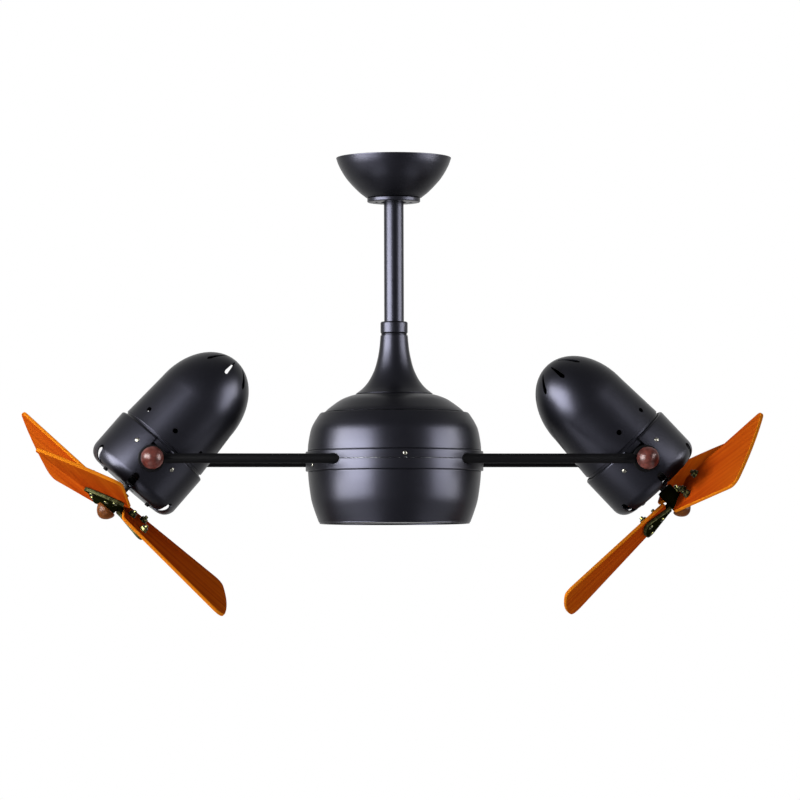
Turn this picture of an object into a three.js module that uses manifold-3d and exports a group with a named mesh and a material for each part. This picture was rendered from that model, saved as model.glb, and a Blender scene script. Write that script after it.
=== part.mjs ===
// Twin head ceiling fan: two tilting fan heads on the arms of a slowly turning carousel.
// Millimetres, +Z up. The origin is the middle of the ceiling face of the hanger bracket,
// and the two arms lie along X. Each head is built hanging straight down from its pivot,
// with its nose towards -Z, and is then tilted outwards about the Y axis.

import * as THREE from "three";
import { mergeVertices } from "three/addons/utils/BufferGeometryUtils.js";
import Module from "manifold-3d";

const wasm = await Module();
wasm.setup();

// ---- driving dimensions ----

const GAP = 0.3; // between pieces that touch or run in each other
const SHEET = 1.5; // wall of the spun and drawn covers
const DEG = Math.PI / 180;
const FINE = 32; // sides of the large round covers
const MEDIUM = 24;
const COARSE = 16;

// ceiling mount
const BALL_Z = -27; // centre of the hanger ball
const BALL_R = 26;
const PIN_R = 3;
const SEAT_Z = -41; // top of the seat plate
const SEAT_R = 42;
const BRACKET = { length: 118, width: 36, sheet: 2.5, legX: 40, legWidth: 24 };
const CANOPY = { rim: 75, top: -0.4, bottom: -52.5, hole: 17 };
const RING = { r: 34.5, top: -52.8, bottom: -58.5, bore: 16.4, screwX: 22, screwR: 2.2 };

// down rod and the fixed parts under it
const ROD = { r: 12.85, bore: 10.6, top: -12, bottom: -290 };
const COLLAR = { r: 17.7, top: -214.5, bottom: -230.1, edge: 2 };
const NECK_BOTTOM = -308.8;
const DOME_TOP = -309.1;
const DOME_RIM = -332.2;
const YOKE = { r: 18.5, top: -258, plateR: 79, plateTop: -326.5, plateBottom: -329.5, bottom: -336 };
const SPINDLE = { r: 9, bore: 5, top: -294, bottom: -466 };

// carousel
const ARM_Z = -395.2; // height of the arms and of the seam between the bowls
const ARM_Y = 77.4;
const ARM_R = 6.35; // half inch rod
const EYE = { r: 17.5, thickness: 6, hole: 4.2 };
const PIVOT_X = 318.4;
const BAND = { r: 115.6, inner: 113.1, top: -384, bottom: -409.2 };
const BOWL = { top: -333.4, mouth: 88, bottom: -477.6, lip: 94.5 };
const FRAME = { hubR: 27, hubTop: -346, hubBottom: -446, discTop: -404.5, discBottom: -408.5, rimR: 112.2 };
const BEARING = { bore: 9.3, r: 20, height: 9.4 };
const SADDLE = { x: 45, length: 20, width: 22, top: -386.6 }; // just under the pinion
const SLIP = { r: 15, top: -448, bottom: -464, rings: 3 };

// gear train of the carousel
const MODULE_MM = 2;
const RING_TEETH = 54;
const PINION_TEETH = 12;
const GEAR_TOP = -378;
const GEAR_BOTTOM = -386;
const GEAR_CENTRES = (MODULE_MM * (RING_TEETH + PINION_TEETH)) / 2;
const PINION_SHAFT_R = 3;
const GEARMOTOR = { r: 17, top: YOKE.plateBottom - GAP, bottom: -368 };

// heads, in the frame of a head whose pivot is the origin and whose nose points to -Z
const CUP = { r: 66.9, rim: 25.6, bottom: -44.5, corner: 17, hole: 12.5, notch: 13, notchBottom: -9.9 };
const VENT = { width: 10, top: -25.5, innerR: 50, count: 6 };
const DOME = { apex: 171, noseHeight: 78, noseR: 58.8, rimR: 62.9, bottom: 18 };
const PIERCED = { count: 8, holeZ: 48, holeR: 3.1 }; // slots in the crown and holes in the side of the dome
const BASKET = { r: 50.5, inner: 47.5, top: 36, bottom: -31.5, floor: 3.5, flangeR: 60.5, flangeHalf: 12 };
const BOSS = { r: 9.5, inner: 55, face: ARM_Y - EYE.thickness / 2 - GAP, studR: 3.8, studEnd: 100 };
const HEAD_BEARING = { bore: 5.3, r: 11, height: 8, seat: 11.3, seatWall: 15 };
const KNOB = { r: 14.5, y: 94.6, flat: ARM_Y + EYE.thickness / 2 + GAP, bore: 4.1, boreEnd: 100.3 };
const SHAFT = { r: 5, top: 48, bottom: -70 };

// rotors
const HUB = { r: 10.5, top: -52, bottom: -82 };
const BLADE_Z = -71.2; // middle plane of the blades
const BLADE_T = 4.5;
const PITCH = 17.1;
const IRON_T = 5;
const SCREWS = [[30, 0], [50, 17], [50, -17]]; // places of an iron's screws on the blade
const NOSE = { r: 13, top: -82.3, tip: -98 };

// how the two heads stand in the photograph
const HEADS = [
  { name: "left", side: -1, tilt: 41, firstBlade: 13.1 },
  { name: "right", side: 1, tilt: 43.6, firstBlade: 181.1 },
];

// ---- materials ----

function finish(color, roughness, metalness) {
  return new THREE.MeshStandardMaterial({ color, roughness, metalness });
}

const satinBlack = finish(0x17171b, 0.42, 0.25);
const bladeWood = finish(0xb8641c, 0.45, 0);
const knobWood = finish(0x6e2f24, 0.25, 0);
const noseWood = finish(0x8a5226, 0.3, 0);
const bronze = finish(0x33301c, 0.45, 0.8);
const steel = finish(0xb4b6b8, 0.3, 0.9);
const castAlloy = finish(0x8d9094, 0.5, 0.7);
const gearSteel = finish(0x77797c, 0.4, 0.8);
const copper = finish(0xa8653a, 0.4, 0.8);
const darkPlastic = finish(0x202022, 0.6, 0);

// ---- solids ----

// A closed three.js geometry becomes a solid that can be joined and cut.
function solid(geometry) {
  geometry.deleteAttribute("normal");
  geometry.deleteAttribute("uv");
  const merged = mergeVertices(geometry, 1e-4);
  const index = merged.index.array;
  const triangles = [];
  for (let i = 0; i < index.length; i += 3) {
    const [a, b, c] = index.slice(i, i + 3);
    if (a !== b && b !== c && c !== a) triangles.push(a, b, c);
  }
  const mesh = new wasm.Mesh({
    numProp: 3,
    vertProperties: new Float32Array(merged.attributes.position.array),
    triVerts: new Uint32Array(triangles),
  });
  return new wasm.Manifold(mesh);
}

// Turned piece: a profile of [radius, height] pairs, counterclockwise, closed by this function.
function turned(profile, segments = MEDIUM) {
  const points = [...profile, profile[0]].map(([r, z]) => new THREE.Vector2(r, z));
  return solid(new THREE.LatheGeometry(points, segments).rotateX(Math.PI / 2));
}

// Ring or disc between two heights; a bore of 0 makes it solid.
function ring(r, bore, top, bottom, segments = MEDIUM) {
  return turned([[bore, bottom], [r, bottom], [r, top], [bore, top]], segments);
}

// Rod from the point a to the point b.
function rod(a, b, r, segments = 12) {
  const from = new THREE.Vector3(...a);
  const along = new THREE.Vector3(...b).sub(from);
  const up = new THREE.Vector3(0, 1, 0);
  const turn = new THREE.Quaternion().setFromUnitVectors(up, along.clone().normalize());
  const geometry = new THREE.CylinderGeometry(r, r, along.length(), segments);
  geometry.applyQuaternion(turn);
  geometry.translate(...from.addScaledVector(along, 0.5).toArray());
  return solid(geometry);
}

// Box between two corners.
function block(low, high) {
  const size = high.map((value, i) => value - low[i]);
  const middle = high.map((value, i) => (value + low[i]) / 2);
  return solid(new THREE.BoxGeometry(...size).translate(...middle));
}

// Flat outline given thickness from one height to another.
function plate(shape, bottom, top, curveSegments = 5) {
  const options = { depth: top - bottom, bevelEnabled: false, curveSegments };
  return solid(new THREE.ExtrudeGeometry(shape, options).translate(0, 0, bottom));
}

// Points of a smooth curve through the given [radius, height] pairs.
function smooth(points, steps) {
  const curve = new THREE.SplineCurve(points.map(([r, z]) => new THREE.Vector2(r, z)));
  return curve.getPoints(steps).map((p) => [p.x, p.y]);
}

// Points of an arc of the profile, about [r, z], angles in degrees from the outward direction.
function arc(r, z, radius, from, to, steps) {
  const points = [];
  for (let i = 0; i <= steps; i++) {
    const angle = (from + ((to - from) * i) / steps) * DEG;
    points.push([r + radius * Math.cos(angle), z + radius * Math.sin(angle)]);
  }
  return points;
}

// Every second point of a line, with both its ends.
const thinned = (line) => line.filter((_, i) => i % 2 === 0 || i === line.length - 1);

// The same line moved inwards by a wall's thickness. The line runs upwards on the outside.
function inset(line, wall) {
  return line.map(([r, z], i) => {
    const [r0, z0] = line[Math.max(i - 1, 0)];
    const [r1, z1] = line[Math.min(i + 1, line.length - 1)];
    const length = Math.hypot(r1 - r0, z1 - z0);
    return [r - (wall * (z1 - z0)) / length, z + (wall * (r1 - r0)) / length];
  });
}

function round(count, make) {
  return Array.from({ length: count }, (_, i) => make((i * 360) / count, i));
}

const turnedBy = (piece, degrees) => piece.rotate([0, 0, degrees]);

function joined(pieces) {
  return pieces.reduce((whole, piece) => whole.add(piece));
}

// ---- scene graph ----

const fan = new THREE.Group();

function mesh(name, piece, material, parent) {
  const data = piece.getMesh();
  const geometry = new THREE.BufferGeometry();
  geometry.setAttribute("position", new THREE.BufferAttribute(new Float32Array(data.vertProperties), 3));
  geometry.setIndex(new THREE.BufferAttribute(new Uint32Array(data.triVerts), 1));
  geometry.computeVertexNormals();
  const node = new THREE.Mesh(geometry, material);
  node.name = name;
  parent.add(node);
  return node;
}

// ---- ceiling mount ----

function hangerBracket() {
  const { length, width, sheet, legX, legWidth } = BRACKET;
  const slotLength = 12;
  const slotX = 49;
  const slotR = 2.5;
  const wireHoleX = 22;
  const wireHoleR = 6;
  const seatHole = Math.sqrt(BALL_R ** 2 - (SEAT_Z - BALL_Z) ** 2) + GAP;
  const rodEntry = ROD.r + 1;
  const top = block([-length / 2, -width / 2, -sheet], [length / 2, width / 2, 0]);
  const legs = [-1, 1].map((side) => {
    const [low, high] = [side * legX, side * (legX - sheet)].sort((a, b) => a - b);
    return block([low, -legWidth / 2, SEAT_Z - sheet], [high, legWidth / 2, -sheet]);
  });
  const seat = ring(SEAT_R, seatHole, SEAT_Z, SEAT_Z - sheet);
  const entry = block([-rodEntry, 0, SEAT_Z - 2 * sheet], [rodEntry, SEAT_R + 1, SEAT_Z + sheet]);
  const slots = [-1, 1].flatMap((side) => {
    const [low, high] = [side * slotX - slotLength / 2, side * slotX + slotLength / 2];
    return [
      block([low, -slotR, -2 * sheet], [high, slotR, sheet]),
      rod([side * wireHoleX, 0, -2 * sheet], [side * wireHoleX, 0, sheet], wireHoleR),
    ];
  });
  return joined([top, ...legs, seat.subtract(entry)]).subtract(joined(slots));
}

function canopy() {
  const { rim, top, bottom, hole } = CANOPY;
  const side = smooth([[37.4, -51.2], [46.7, -43.6], [61.1, -28], [70.6, -12.4], [rim, top]], 6);
  const inner = thinned(inset(side, SHEET)).slice(1, -1);
  const floor = bottom + SHEET;
  const mouth = [rim - SHEET, top];
  const outside = [[hole, bottom], [35.8, bottom], ...side];
  const inside = [mouth, ...inner.reverse(), [35.2, floor], [hole, floor]];
  return turned([...outside, ...inside], FINE);
}

function canopyRing() {
  const { r, top, bottom, bore, screwX, screwR } = RING;
  const edge = 1.1;
  const segments = 28;
  const rim = [[r - edge, bottom], [r, bottom + edge], [r, top - edge], [r - edge, top]];
  const body = turned([[bore, bottom], ...rim, [bore, top]], segments);
  const holes = [-screwX, screwX].map((x) => rod([x, 0, bottom - 1], [x, 0, top + 1], screwR, 8));
  return body.subtract(joined(holes));
}

function hangerBall() {
  const bore = 14.7; // lets the rod swing on its pin
  const halfTop = 17;
  const halfBottom = 18;
  const up = Math.asin(halfTop / BALL_R) / DEG;
  const down = Math.asin(halfBottom / BALL_R) / DEG;
  const side = arc(0, BALL_Z, BALL_R, -down, up, 6);
  const body = turned([...side, [bore, BALL_Z + halfTop], [bore, BALL_Z - halfBottom]]);
  return body.subtract(rod([0, -BALL_R - 1, BALL_Z], [0, BALL_R + 1, BALL_Z], PIN_R + GAP));
}

const PIN_HALF = 23;
const ballPin = () => rod([0, -PIN_HALF, BALL_Z], [0, PIN_HALF, BALL_Z], PIN_R);

function downrod() {
  const tube = ring(ROD.r, ROD.bore, ROD.top, ROD.bottom);
  return tube.subtract(rod([0, -20, BALL_Z], [0, 20, BALL_Z], PIN_R + GAP));
}

// ---- fixed covers and the yoke ----

function downrodCollar() {
  const { r, top, bottom, edge } = COLLAR;
  const bore = ROD.r + GAP;
  const lower = arc(r - edge, bottom + edge, edge, -90, 0, 2);
  const upper = arc(r - edge, top - edge, edge, 0, 90, 2);
  return turned([[bore, bottom], ...lower, ...upper, [bore, top]]);
}

function neckCover() {
  const top = COLLAR.bottom - GAP;
  const mouth = 49.9;
  const grooveR = 16.3;
  const shoulder = -233.2;
  const bore = ROD.r + 0.5;
  const flare = [[mouth, NECK_BOTTOM], [40.7, -301], [32.4, -290.6], [25, -275], [20, -254.2]];
  const side = smooth([...flare, [17.8, shoulder]], 6);
  const inner = inset(side, SHEET).reverse().slice(1);
  inner[inner.length - 1] = [mouth - 2 * SHEET, NECK_BOTTOM];
  const cap = [[grooveR, shoulder + 1], [grooveR, top], [bore, top], [bore, -236], [16.2, -237]];
  return turned([...side, ...cap, ...inner]);
}

function topDome() {
  const bore = YOKE.r + 0.7;
  const crown = [[84.8, -327], [70.1, -316.6], [57.7, -311.4], [48.5, DOME_TOP]];
  const side = smooth([[90.2, DOME_RIM], ...crown], 4);
  const inner = thinned(inset(side, SHEET)).reverse().slice(1, -1);
  const floor = DOME_TOP - SHEET;
  return turned([...side, [bore, DOME_TOP], [bore, floor], [47, floor], ...inner, [87.8, DOME_RIM]], FINE);
}

function yokePlate() {
  const { r, top, plateR, plateTop, plateBottom, bottom } = YOKE;
  const rodBore = ROD.r + GAP;
  const rodSeat = ROD.bottom - GAP;
  const spindleBore = SPINDLE.r + GAP;
  const footR = 16;
  const foot = [[spindleBore, bottom], [footR, bottom], [footR, plateBottom]];
  const outside = [...foot, [plateR, plateBottom], [plateR, plateTop]];
  const inside = [[r, plateTop], [r, top], [rodBore, top], [rodBore, rodSeat], [spindleBore, rodSeat]];
  return turned([...outside, ...inside]);
}

const spindle = () => ring(SPINDLE.r, SPINDLE.bore, SPINDLE.top, SPINDLE.bottom, COARSE);

// Sealed ball bearing, with its upper shield set back between the rings.
function bearing({ bore, r, height }, top, segments) {
  const shield = 0.6;
  const race = (r - bore) * 0.28;
  const bottom = top - height;
  const face = [[r - race, top], [r - race, top - shield], [bore + race, top - shield], [bore + race, top]];
  return turned([[bore, bottom], [r, bottom], [r, top], ...face, [bore, top]], segments);
}

function gearmotor() {
  const { r, top, bottom } = GEARMOTOR;
  const edge = 2;
  const shaftBore = PINION_SHAFT_R + GAP;
  const shaftEnd = bottom + 6;
  const bossR = 8;
  const bossHeight = 3;
  const profile = [
    [shaftBore, bottom], [bossR, bottom], [bossR, bottom + bossHeight], [r, bottom + bossHeight],
    [r, top - edge], [r - edge, top], [0, top], [0, shaftEnd], [shaftBore, shaftEnd],
  ];
  return turned(profile, COARSE).translate([GEAR_CENTRES, 0, 0]);
}

function slipRing() {
  const { r, top, bottom, rings } = SLIP;
  const bore = SPINDLE.r + 1;
  const land = (top - bottom) / (2 * rings + 1);
  const grooveDepth = 1.2;
  const side = [];
  for (let i = 0; i < rings; i++) {
    const foot = bottom + land * (2 * i + 1);
    side.push([r, foot], [r - grooveDepth, foot], [r - grooveDepth, foot + land], [r, foot + land]);
  }
  return turned([[bore, bottom], [r, bottom], ...side, [r, top], [bore, top]], 12);
}

// ---- gears ----

// Spur gear outline with straight sided teeth, a tooth centred on the +X direction.
function gearShape(teeth, bore) {
  const pitchR = (MODULE_MM * teeth) / 2;
  const rootR = pitchR - 1.25 * MODULE_MM;
  const tipR = pitchR + MODULE_MM;
  const rootHalf = (0.68 * Math.PI) / teeth;
  const tipHalf = (0.2 * Math.PI) / teeth;
  const shape = new THREE.Shape();
  for (let i = 0; i < teeth; i++) {
    const middle = (2 * Math.PI * i) / teeth;
    const corners = [[rootR, -rootHalf], [tipR, -tipHalf], [tipR, tipHalf], [rootR, rootHalf]];
    corners.forEach(([r, offset], k) => {
      const x = r * Math.cos(middle + offset);
      const y = r * Math.sin(middle + offset);
      if (i === 0 && k === 0) shape.moveTo(x, y);
      else shape.lineTo(x, y);
    });
  }
  shape.closePath();
  if (bore > 0) shape.holes.push(new THREE.Path().absarc(0, 0, bore, 0, 2 * Math.PI, true));
  return shape;
}

const RING_GEAR_BORE = 44;
const ringGear = () => plate(gearShape(RING_TEETH, RING_GEAR_BORE), GEAR_BOTTOM, GEAR_TOP, 12);

function drivePinion() {
  const shaftTop = GEARMOTOR.bottom + 5;
  const gear = turnedBy(plate(gearShape(PINION_TEETH, 0), GEAR_BOTTOM, GEAR_TOP), 180 / PINION_TEETH);
  const shaft = rod([0, 0, GEAR_BOTTOM], [0, 0, shaftTop], PINION_SHAFT_R);
  return gear.add(shaft).translate([GEAR_CENTRES, 0, 0]);
}

// ---- carousel ----

function carouselFrame() {
  const { hubR, hubTop, hubBottom, discTop, discBottom, rimR } = FRAME;
  const seatR = BEARING.r + GAP;
  const seatDepth = BEARING.height + GAP;
  const waist = 16;
  const rimWall = 2.5;
  const rimTop = -387;
  const pedestal = [RING_GEAR_BORE + 1, RING_GEAR_BORE + 7];
  const upperSeat = hubTop - seatDepth;
  const lowerSeat = hubBottom + seatDepth;
  const hub = turned([
    [seatR, hubBottom], [hubR, hubBottom], [hubR, hubTop], [seatR, hubTop],
    [seatR, upperSeat], [waist, upperSeat], [waist, lowerSeat], [seatR, lowerSeat],
  ]);
  const disc = ring(rimR, hubR - 1, discTop, discBottom);
  const rim = ring(rimR, rimR - rimWall, rimTop, discBottom);
  const shelf = ring(pedestal[1], pedestal[0], GEAR_BOTTOM - GAP, discBottom);
  const saddles = [];
  const bores = [];
  for (const y of [-ARM_Y, ARM_Y]) {
    for (const x of [-SADDLE.x, SADDLE.x]) {
      const low = [x - SADDLE.length / 2, y - SADDLE.width / 2, discBottom];
      saddles.push(block(low, [x + SADDLE.length / 2, y + SADDLE.width / 2, SADDLE.top]));
    }
    bores.push(rod([-BAND.r, y, ARM_Z], [BAND.r, y, ARM_Z], ARM_R + GAP));
  }
  const saddleBlocks = joined(saddles).intersect(ring(rimR, 0, SADDLE.top, discBottom));
  return joined([hub, disc, rim, shelf, saddleBlocks]).subtract(joined(bores));
}

function brushBlock() {
  const face = SLIP.r + GAP;
  const width = 7;
  const back = 30;
  const post = 4;
  const land = (SLIP.top - SLIP.bottom) / (2 * SLIP.rings + 1);
  const body = block([face + 2, -width, SLIP.bottom + 1], [back, width, SLIP.top - 1]);
  const arm = block([back - 1, -width, SLIP.bottom + 1], [back + post, width, FRAME.discBottom - GAP]);
  const brushes = Array.from({ length: SLIP.rings }, (_, i) => {
    const foot = SLIP.bottom + land * (2 * i + 1);
    return block([face, -2, foot + 0.3], [face + 3, 2, foot + land - 0.3]);
  });
  return joined([body, arm, ...brushes]);
}

// Notches of both bowls where the arms come out.
function armHoles() {
  const hole = ARM_R + GAP + 0.3;
  return joined([-ARM_Y, ARM_Y].map((y) => rod([-BAND.r - 5, y, ARM_Z], [BAND.r + 5, y, ARM_Z], hole)));
}

function upperBowl() {
  const seam = ARM_Z + GAP / 2;
  const shoulder = [[112, -372], [108.8, -355.6], [104.1, -345.2], [97.4, -334.9]];
  const side = smooth([[113, BAND.top + 0.6], ...shoulder], 6);
  const inner = thinned(inset(side, SHEET)).reverse();
  const { top, mouth } = BOWL;
  const flange = [[95.6, top], [mouth, top], [mouth, top - SHEET], [94.6, top - SHEET]];
  const band = [[BAND.inner, seam], [BAND.r, seam], [BAND.r, BAND.top]];
  const inside = [...inner.slice(1), [BAND.inner, BAND.top - 2]];
  return turned([...band, ...side, ...flange, ...inside], FINE).subtract(armHoles());
}

function lowerBowl() {
  const seam = ARM_Z - GAP / 2;
  const { bottom, lip } = BOWL;
  const wall = [[98.6, -475.6], [103.5, -462.2], [108.2, -446.6], [111.3, -425.8]];
  const side = smooth([...wall, [112.7, BAND.bottom]], 4);
  const inner = thinned(inset(side, SHEET)).reverse();
  inner[0] = [BAND.inner - SHEET, BAND.bottom + 0.6];
  const foot = [[lip, bottom], [97.4, bottom]];
  const band = [[BAND.r, BAND.bottom], [BAND.r, seam], [BAND.inner, seam], [BAND.inner, BAND.bottom + 0.6]];
  return turned([...foot, ...side, ...band, ...inner, [lip, bottom + SHEET]], FINE).subtract(armHoles());
}

function bottomPlate() {
  const r = 95.6;
  const top = -473.4;
  const edge = 2;
  return turned([[0, top - 2.2], [r, top - 2.2], [r, top], [r - edge, top], [0, top]], FINE);
}

// Arm: a half inch rod across the carousel with a flat eye at each end for a head's pivot.
function arm(y) {
  const rodEnd = PIVOT_X - EYE.r + 4;
  const half = EYE.thickness / 2;
  const across = (reach, r, segments) =>
    [-PIVOT_X, PIVOT_X].map((x) => rod([x, y - reach, ARM_Z], [x, y + reach, ARM_Z], r, segments));
  const eyes = across(half, EYE.r, MEDIUM);
  const holes = across(EYE.thickness, EYE.hole, 12);
  const bar = rod([-rodEnd, y, ARM_Z], [rodEnd, y, ARM_Z], ARM_R);
  return joined([bar, ...eyes]).subtract(joined(holes));
}

// ---- a head's housing ----

function headCup() {
  const { r, rim, bottom, corner, hole, notch, notchBottom } = CUP;
  const shoulder = 3;
  const lip = DOME.rimR + 0.5;
  const cornerZ = bottom + corner;
  const centreR = r - corner;
  const outerCorner = arc(centreR, cornerZ, corner, -90, 0, 4);
  const innerCorner = arc(centreR, cornerZ, corner - SHEET, 0, -90, 3);
  const rolledRim = arc(r - shoulder, rim - shoulder, shoulder, 0, 90, 2);
  const mouth = [[lip, rim], [lip, rim - SHEET], [r - SHEET, rim - shoulder]];
  const outside = [[hole, bottom], ...outerCorner, ...rolledRim];
  const shell = turned([...outside, ...mouth, ...innerCorner, [hole, bottom + SHEET]]);
  const reach = r + 5;
  const notches = [-1, 1].map((side) => {
    const y = [side * 50, side * reach].sort((a, b) => a - b);
    return block([-notch, y[0], notchBottom], [notch, y[1], rim + 1]);
  });
  const half = VENT.width / 2;
  const vents = round(VENT.count, (angle) => {
    const slot = block([VENT.innerR, -half, bottom - 1], [reach, half, VENT.top - half]);
    const topEnd = rod([VENT.innerR, 0, VENT.top - half], [reach, 0, VENT.top - half], half, 8);
    const innerEnd = rod([VENT.innerR, 0, bottom - 1], [VENT.innerR, 0, bottom + 5], half, 8);
    return turnedBy(joined([slot, topEnd, innerEnd]), angle + 90);
  });
  return shell.subtract(joined([...notches, ...vents]));
}

function headDome() {
  const { apex, noseHeight, noseR, rimR, bottom } = DOME;
  const { count, holeZ, holeR } = PIERCED;
  const noseZ = apex - noseHeight;
  const slope = (rimR - noseR) / (noseZ - CUP.rim);
  const footR = noseR + slope * (noseZ - bottom);
  const crown = (wall, steps) => Array.from({ length: steps + 1 }, (_, i) => {
    const angle = (i / steps) * 90 * DEG;
    const r = i < steps ? (noseR - wall) * Math.cos(angle) : 0;
    return [r, noseZ + (noseHeight - wall) * Math.sin(angle)];
  });
  const outside = [[footR, bottom], ...crown(0, 6)];
  const shell = turned([...outside, ...crown(SHEET, 4).reverse(), [footR - SHEET, bottom]]);
  const drop = new THREE.Shape();
  drop.moveTo(19, -0.9);
  drop.lineTo(39.6, -3);
  drop.lineTo(42.6, 0);
  drop.lineTo(39.6, 3);
  drop.lineTo(19, 0.9);
  drop.closePath();
  const cuts = round(count, (angle) => {
    const slot = plate(drop, 120, apex + 2);
    const hole = rod([noseR - 8, 0, holeZ], [rimR + 5, 0, holeZ], holeR, 6);
    return turnedBy(slot.add(hole), angle);
  });
  return shell.subtract(joined(cuts));
}

// Casting that holds the stator and carries the head on two pivot bosses with threaded studs.
function motorFrame() {
  const { r, inner, top, bottom, floor, flangeR, flangeHalf } = BASKET;
  const { seat, seatWall, height } = HEAD_BEARING;
  const seatBottom = bottom - height + 0.5;
  const basket = turned([
    [seat, seatBottom], [seatWall, seatBottom], [seatWall, bottom], [r, bottom], [r, -flangeHalf],
    [flangeR, -flangeHalf], [flangeR, flangeHalf], [r, flangeHalf], [r, top], [inner, top],
    [inner, bottom + floor], [seat, bottom + floor],
  ], COARSE);
  const bosses = [-1, 1].flatMap((side) => [
    rod([0, side * BOSS.inner, 0], [0, side * BOSS.face, 0], BOSS.r),
    rod([0, side * (BOSS.face - 5), 0], [0, side * BOSS.studEnd, 0], BOSS.studR, 8),
  ]);
  return joined([basket, ...bosses]);
}

function rearBell() {
  const { r, top } = BASKET;
  const { seat, seatWall, height } = HEAD_BEARING;
  const foot = top + GAP;
  const sheet = 3.5;
  const crown = foot + sheet + height - 1;
  const shoulder = foot + sheet;
  const outside = [[r, foot], [r, shoulder], [seatWall, shoulder], [seatWall, crown]];
  const bell = turned([[seat, foot], ...outside, [seat, crown]], COARSE);
  const window = { count: 6, at: 32, r: 8 };
  const windows = round(window.count, (angle) =>
    turnedBy(rod([window.at, 0, foot - 1], [window.at, 0, crown], window.r, 8), angle));
  return bell.subtract(joined(windows));
}

// Laminated core with its winding ends.
function stator() {
  const r = BASKET.inner - GAP;
  const bore = 28.5;
  const [low, high] = [-8, 18];
  const winding = { inner: 31, outer: 44, height: 8 };
  const { inner, outer, height } = winding;
  const endZ = low - height;
  const lower = [[inner, low], [inner + 2, endZ], [outer - 2, endZ], [outer, low]];
  const upper = lower.map(([radius, z]) => [radius, low + high - z]).reverse();
  return turned([[bore, low], ...lower, [r, low], [r, high], ...upper, [bore, high]], COARSE);
}

// Wood ball on a pivot stud, with a flat against the eye of the arm.
function knob(side) {
  const { r, y, flat, bore, boreEnd } = KNOB;
  const start = Math.acos((y - flat) / r) / DEG;
  const ballArc = arc(0, 0, r, -90 + start, 90, 5).map(([radius, along]) => [radius, y + along]);
  ballArc[ballArc.length - 1][0] = 0;
  const body = turned([[bore, flat], ...ballArc, [0, boreEnd], [bore, boreEnd]], 12);
  return body.rotate([side * -90, 0, 0]);
}

// ---- a rotor ----

function motorShaft() {
  const { r, top, bottom } = SHAFT;
  const core = { r: 28, low: -8, high: 18 };
  const rotorCore = [[r, core.low], [core.r, core.low], [core.r, core.high], [r, core.high]];
  return turned([[0, bottom], [r, bottom], ...rotorCore, [r, top], [0, top]], COARSE);
}

// Turns a piece made flat, with the blade along +X, to the pitch of the blades.
const pitched = (piece) => piece.rotate([PITCH, 0, 0]).translate([0, 0, BLADE_Z]);

function hub() {
  const { r, top, bottom } = HUB;
  const bore = SHAFT.r + GAP;
  const boreEnd = SHAFT.bottom - GAP;
  const edge = 1;
  const side = [[r - edge, bottom], [r, bottom + edge], [r, top - edge], [r - edge, top]];
  const body = turned([[0, bottom], ...side, [bore, top], [bore, boreEnd], [0, boreEnd]], COARSE);
  const lug = pitched(block([6, -6.5, -BLADE_T / 2], [16.2, 6.5, 2]));
  const lugs = round(3, (angle) => turnedBy(lug, angle));
  return joined([body, ...lugs]).subtract(ring(bore, 0, top + 1, boreEnd, COARSE));
}

// Blade outline in its own plane: narrow at the hub, flared to a wide, slanting, bowed end.
function blade() {
  const shape = new THREE.Shape();
  shape.moveTo(17, 24);
  shape.quadraticCurveTo(17, 28.5, 22, 29.2);
  shape.lineTo(180.5, 52.2);
  shape.quadraticCurveTo(193.5, 54, 196.4, 42);
  shape.quadraticCurveTo(205.5, -9, 196.5, -56);
  shape.quadraticCurveTo(193.2, -71, 178, -68.2);
  shape.lineTo(21, -30.6);
  shape.quadraticCurveTo(17, -29.6, 17, -26);
  shape.closePath();
  const board = plate(shape, -BLADE_T / 2, BLADE_T / 2, 4);
  const holes = SCREWS.map(([x, y]) => rod([x, y, -BLADE_T], [x, y, BLADE_T], 2.3, 6));
  return board.subtract(joined(holes));
}

// Bronze blade holder: a palm under the blade, with its three screws and their nuts.
function bladeIron() {
  const top = -BLADE_T / 2 - GAP;
  const bottom = top - IRON_T;
  const palm = new THREE.Shape();
  palm.moveTo(11.4, -6);
  palm.lineTo(18, -7.5);
  palm.lineTo(46, -27);
  palm.quadraticCurveTo(53, -30.5, 57, -23);
  palm.quadraticCurveTo(62.5, 0, 57, 23);
  palm.quadraticCurveTo(53, 30.5, 46, 27);
  palm.lineTo(18, 7.5);
  palm.lineTo(11.4, 6);
  palm.closePath();
  const screwR = 1.9;
  const head = { r: 3.4, height: 1.8 };
  const nut = { r: 4.3, height: 4.8 };
  const nutFoot = BLADE_T / 2 + GAP;
  const screws = SCREWS.map(([x, y]) => {
    const shank = rod([x, y, bottom], [x, y, nutFoot + 1], screwR, 6);
    const headDisc = rod([x, y, bottom - head.height], [x, y, bottom + 0.5], head.r, 6);
    const hex = rod([x, y, nutFoot], [x, y, nutFoot + nut.height], nut.r, 6);
    return joined([shank, headDisc, hex]);
  });
  return joined([plate(palm, bottom, top, 2), ...screws]);
}

function nose() {
  const { r, top, tip } = NOSE;
  const edge = 1.2;
  const acorn = [[0, tip], [4.6, tip + 1.3], [9.6, tip + 5.4], [12.7, tip + 10.8]];
  const side = smooth([...acorn, [r, top - edge]], 6);
  side[0][0] = 0;
  return turned([...side, [r - edge, top], [0, top]], COARSE);
}

// ---- the whole fan ----

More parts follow.
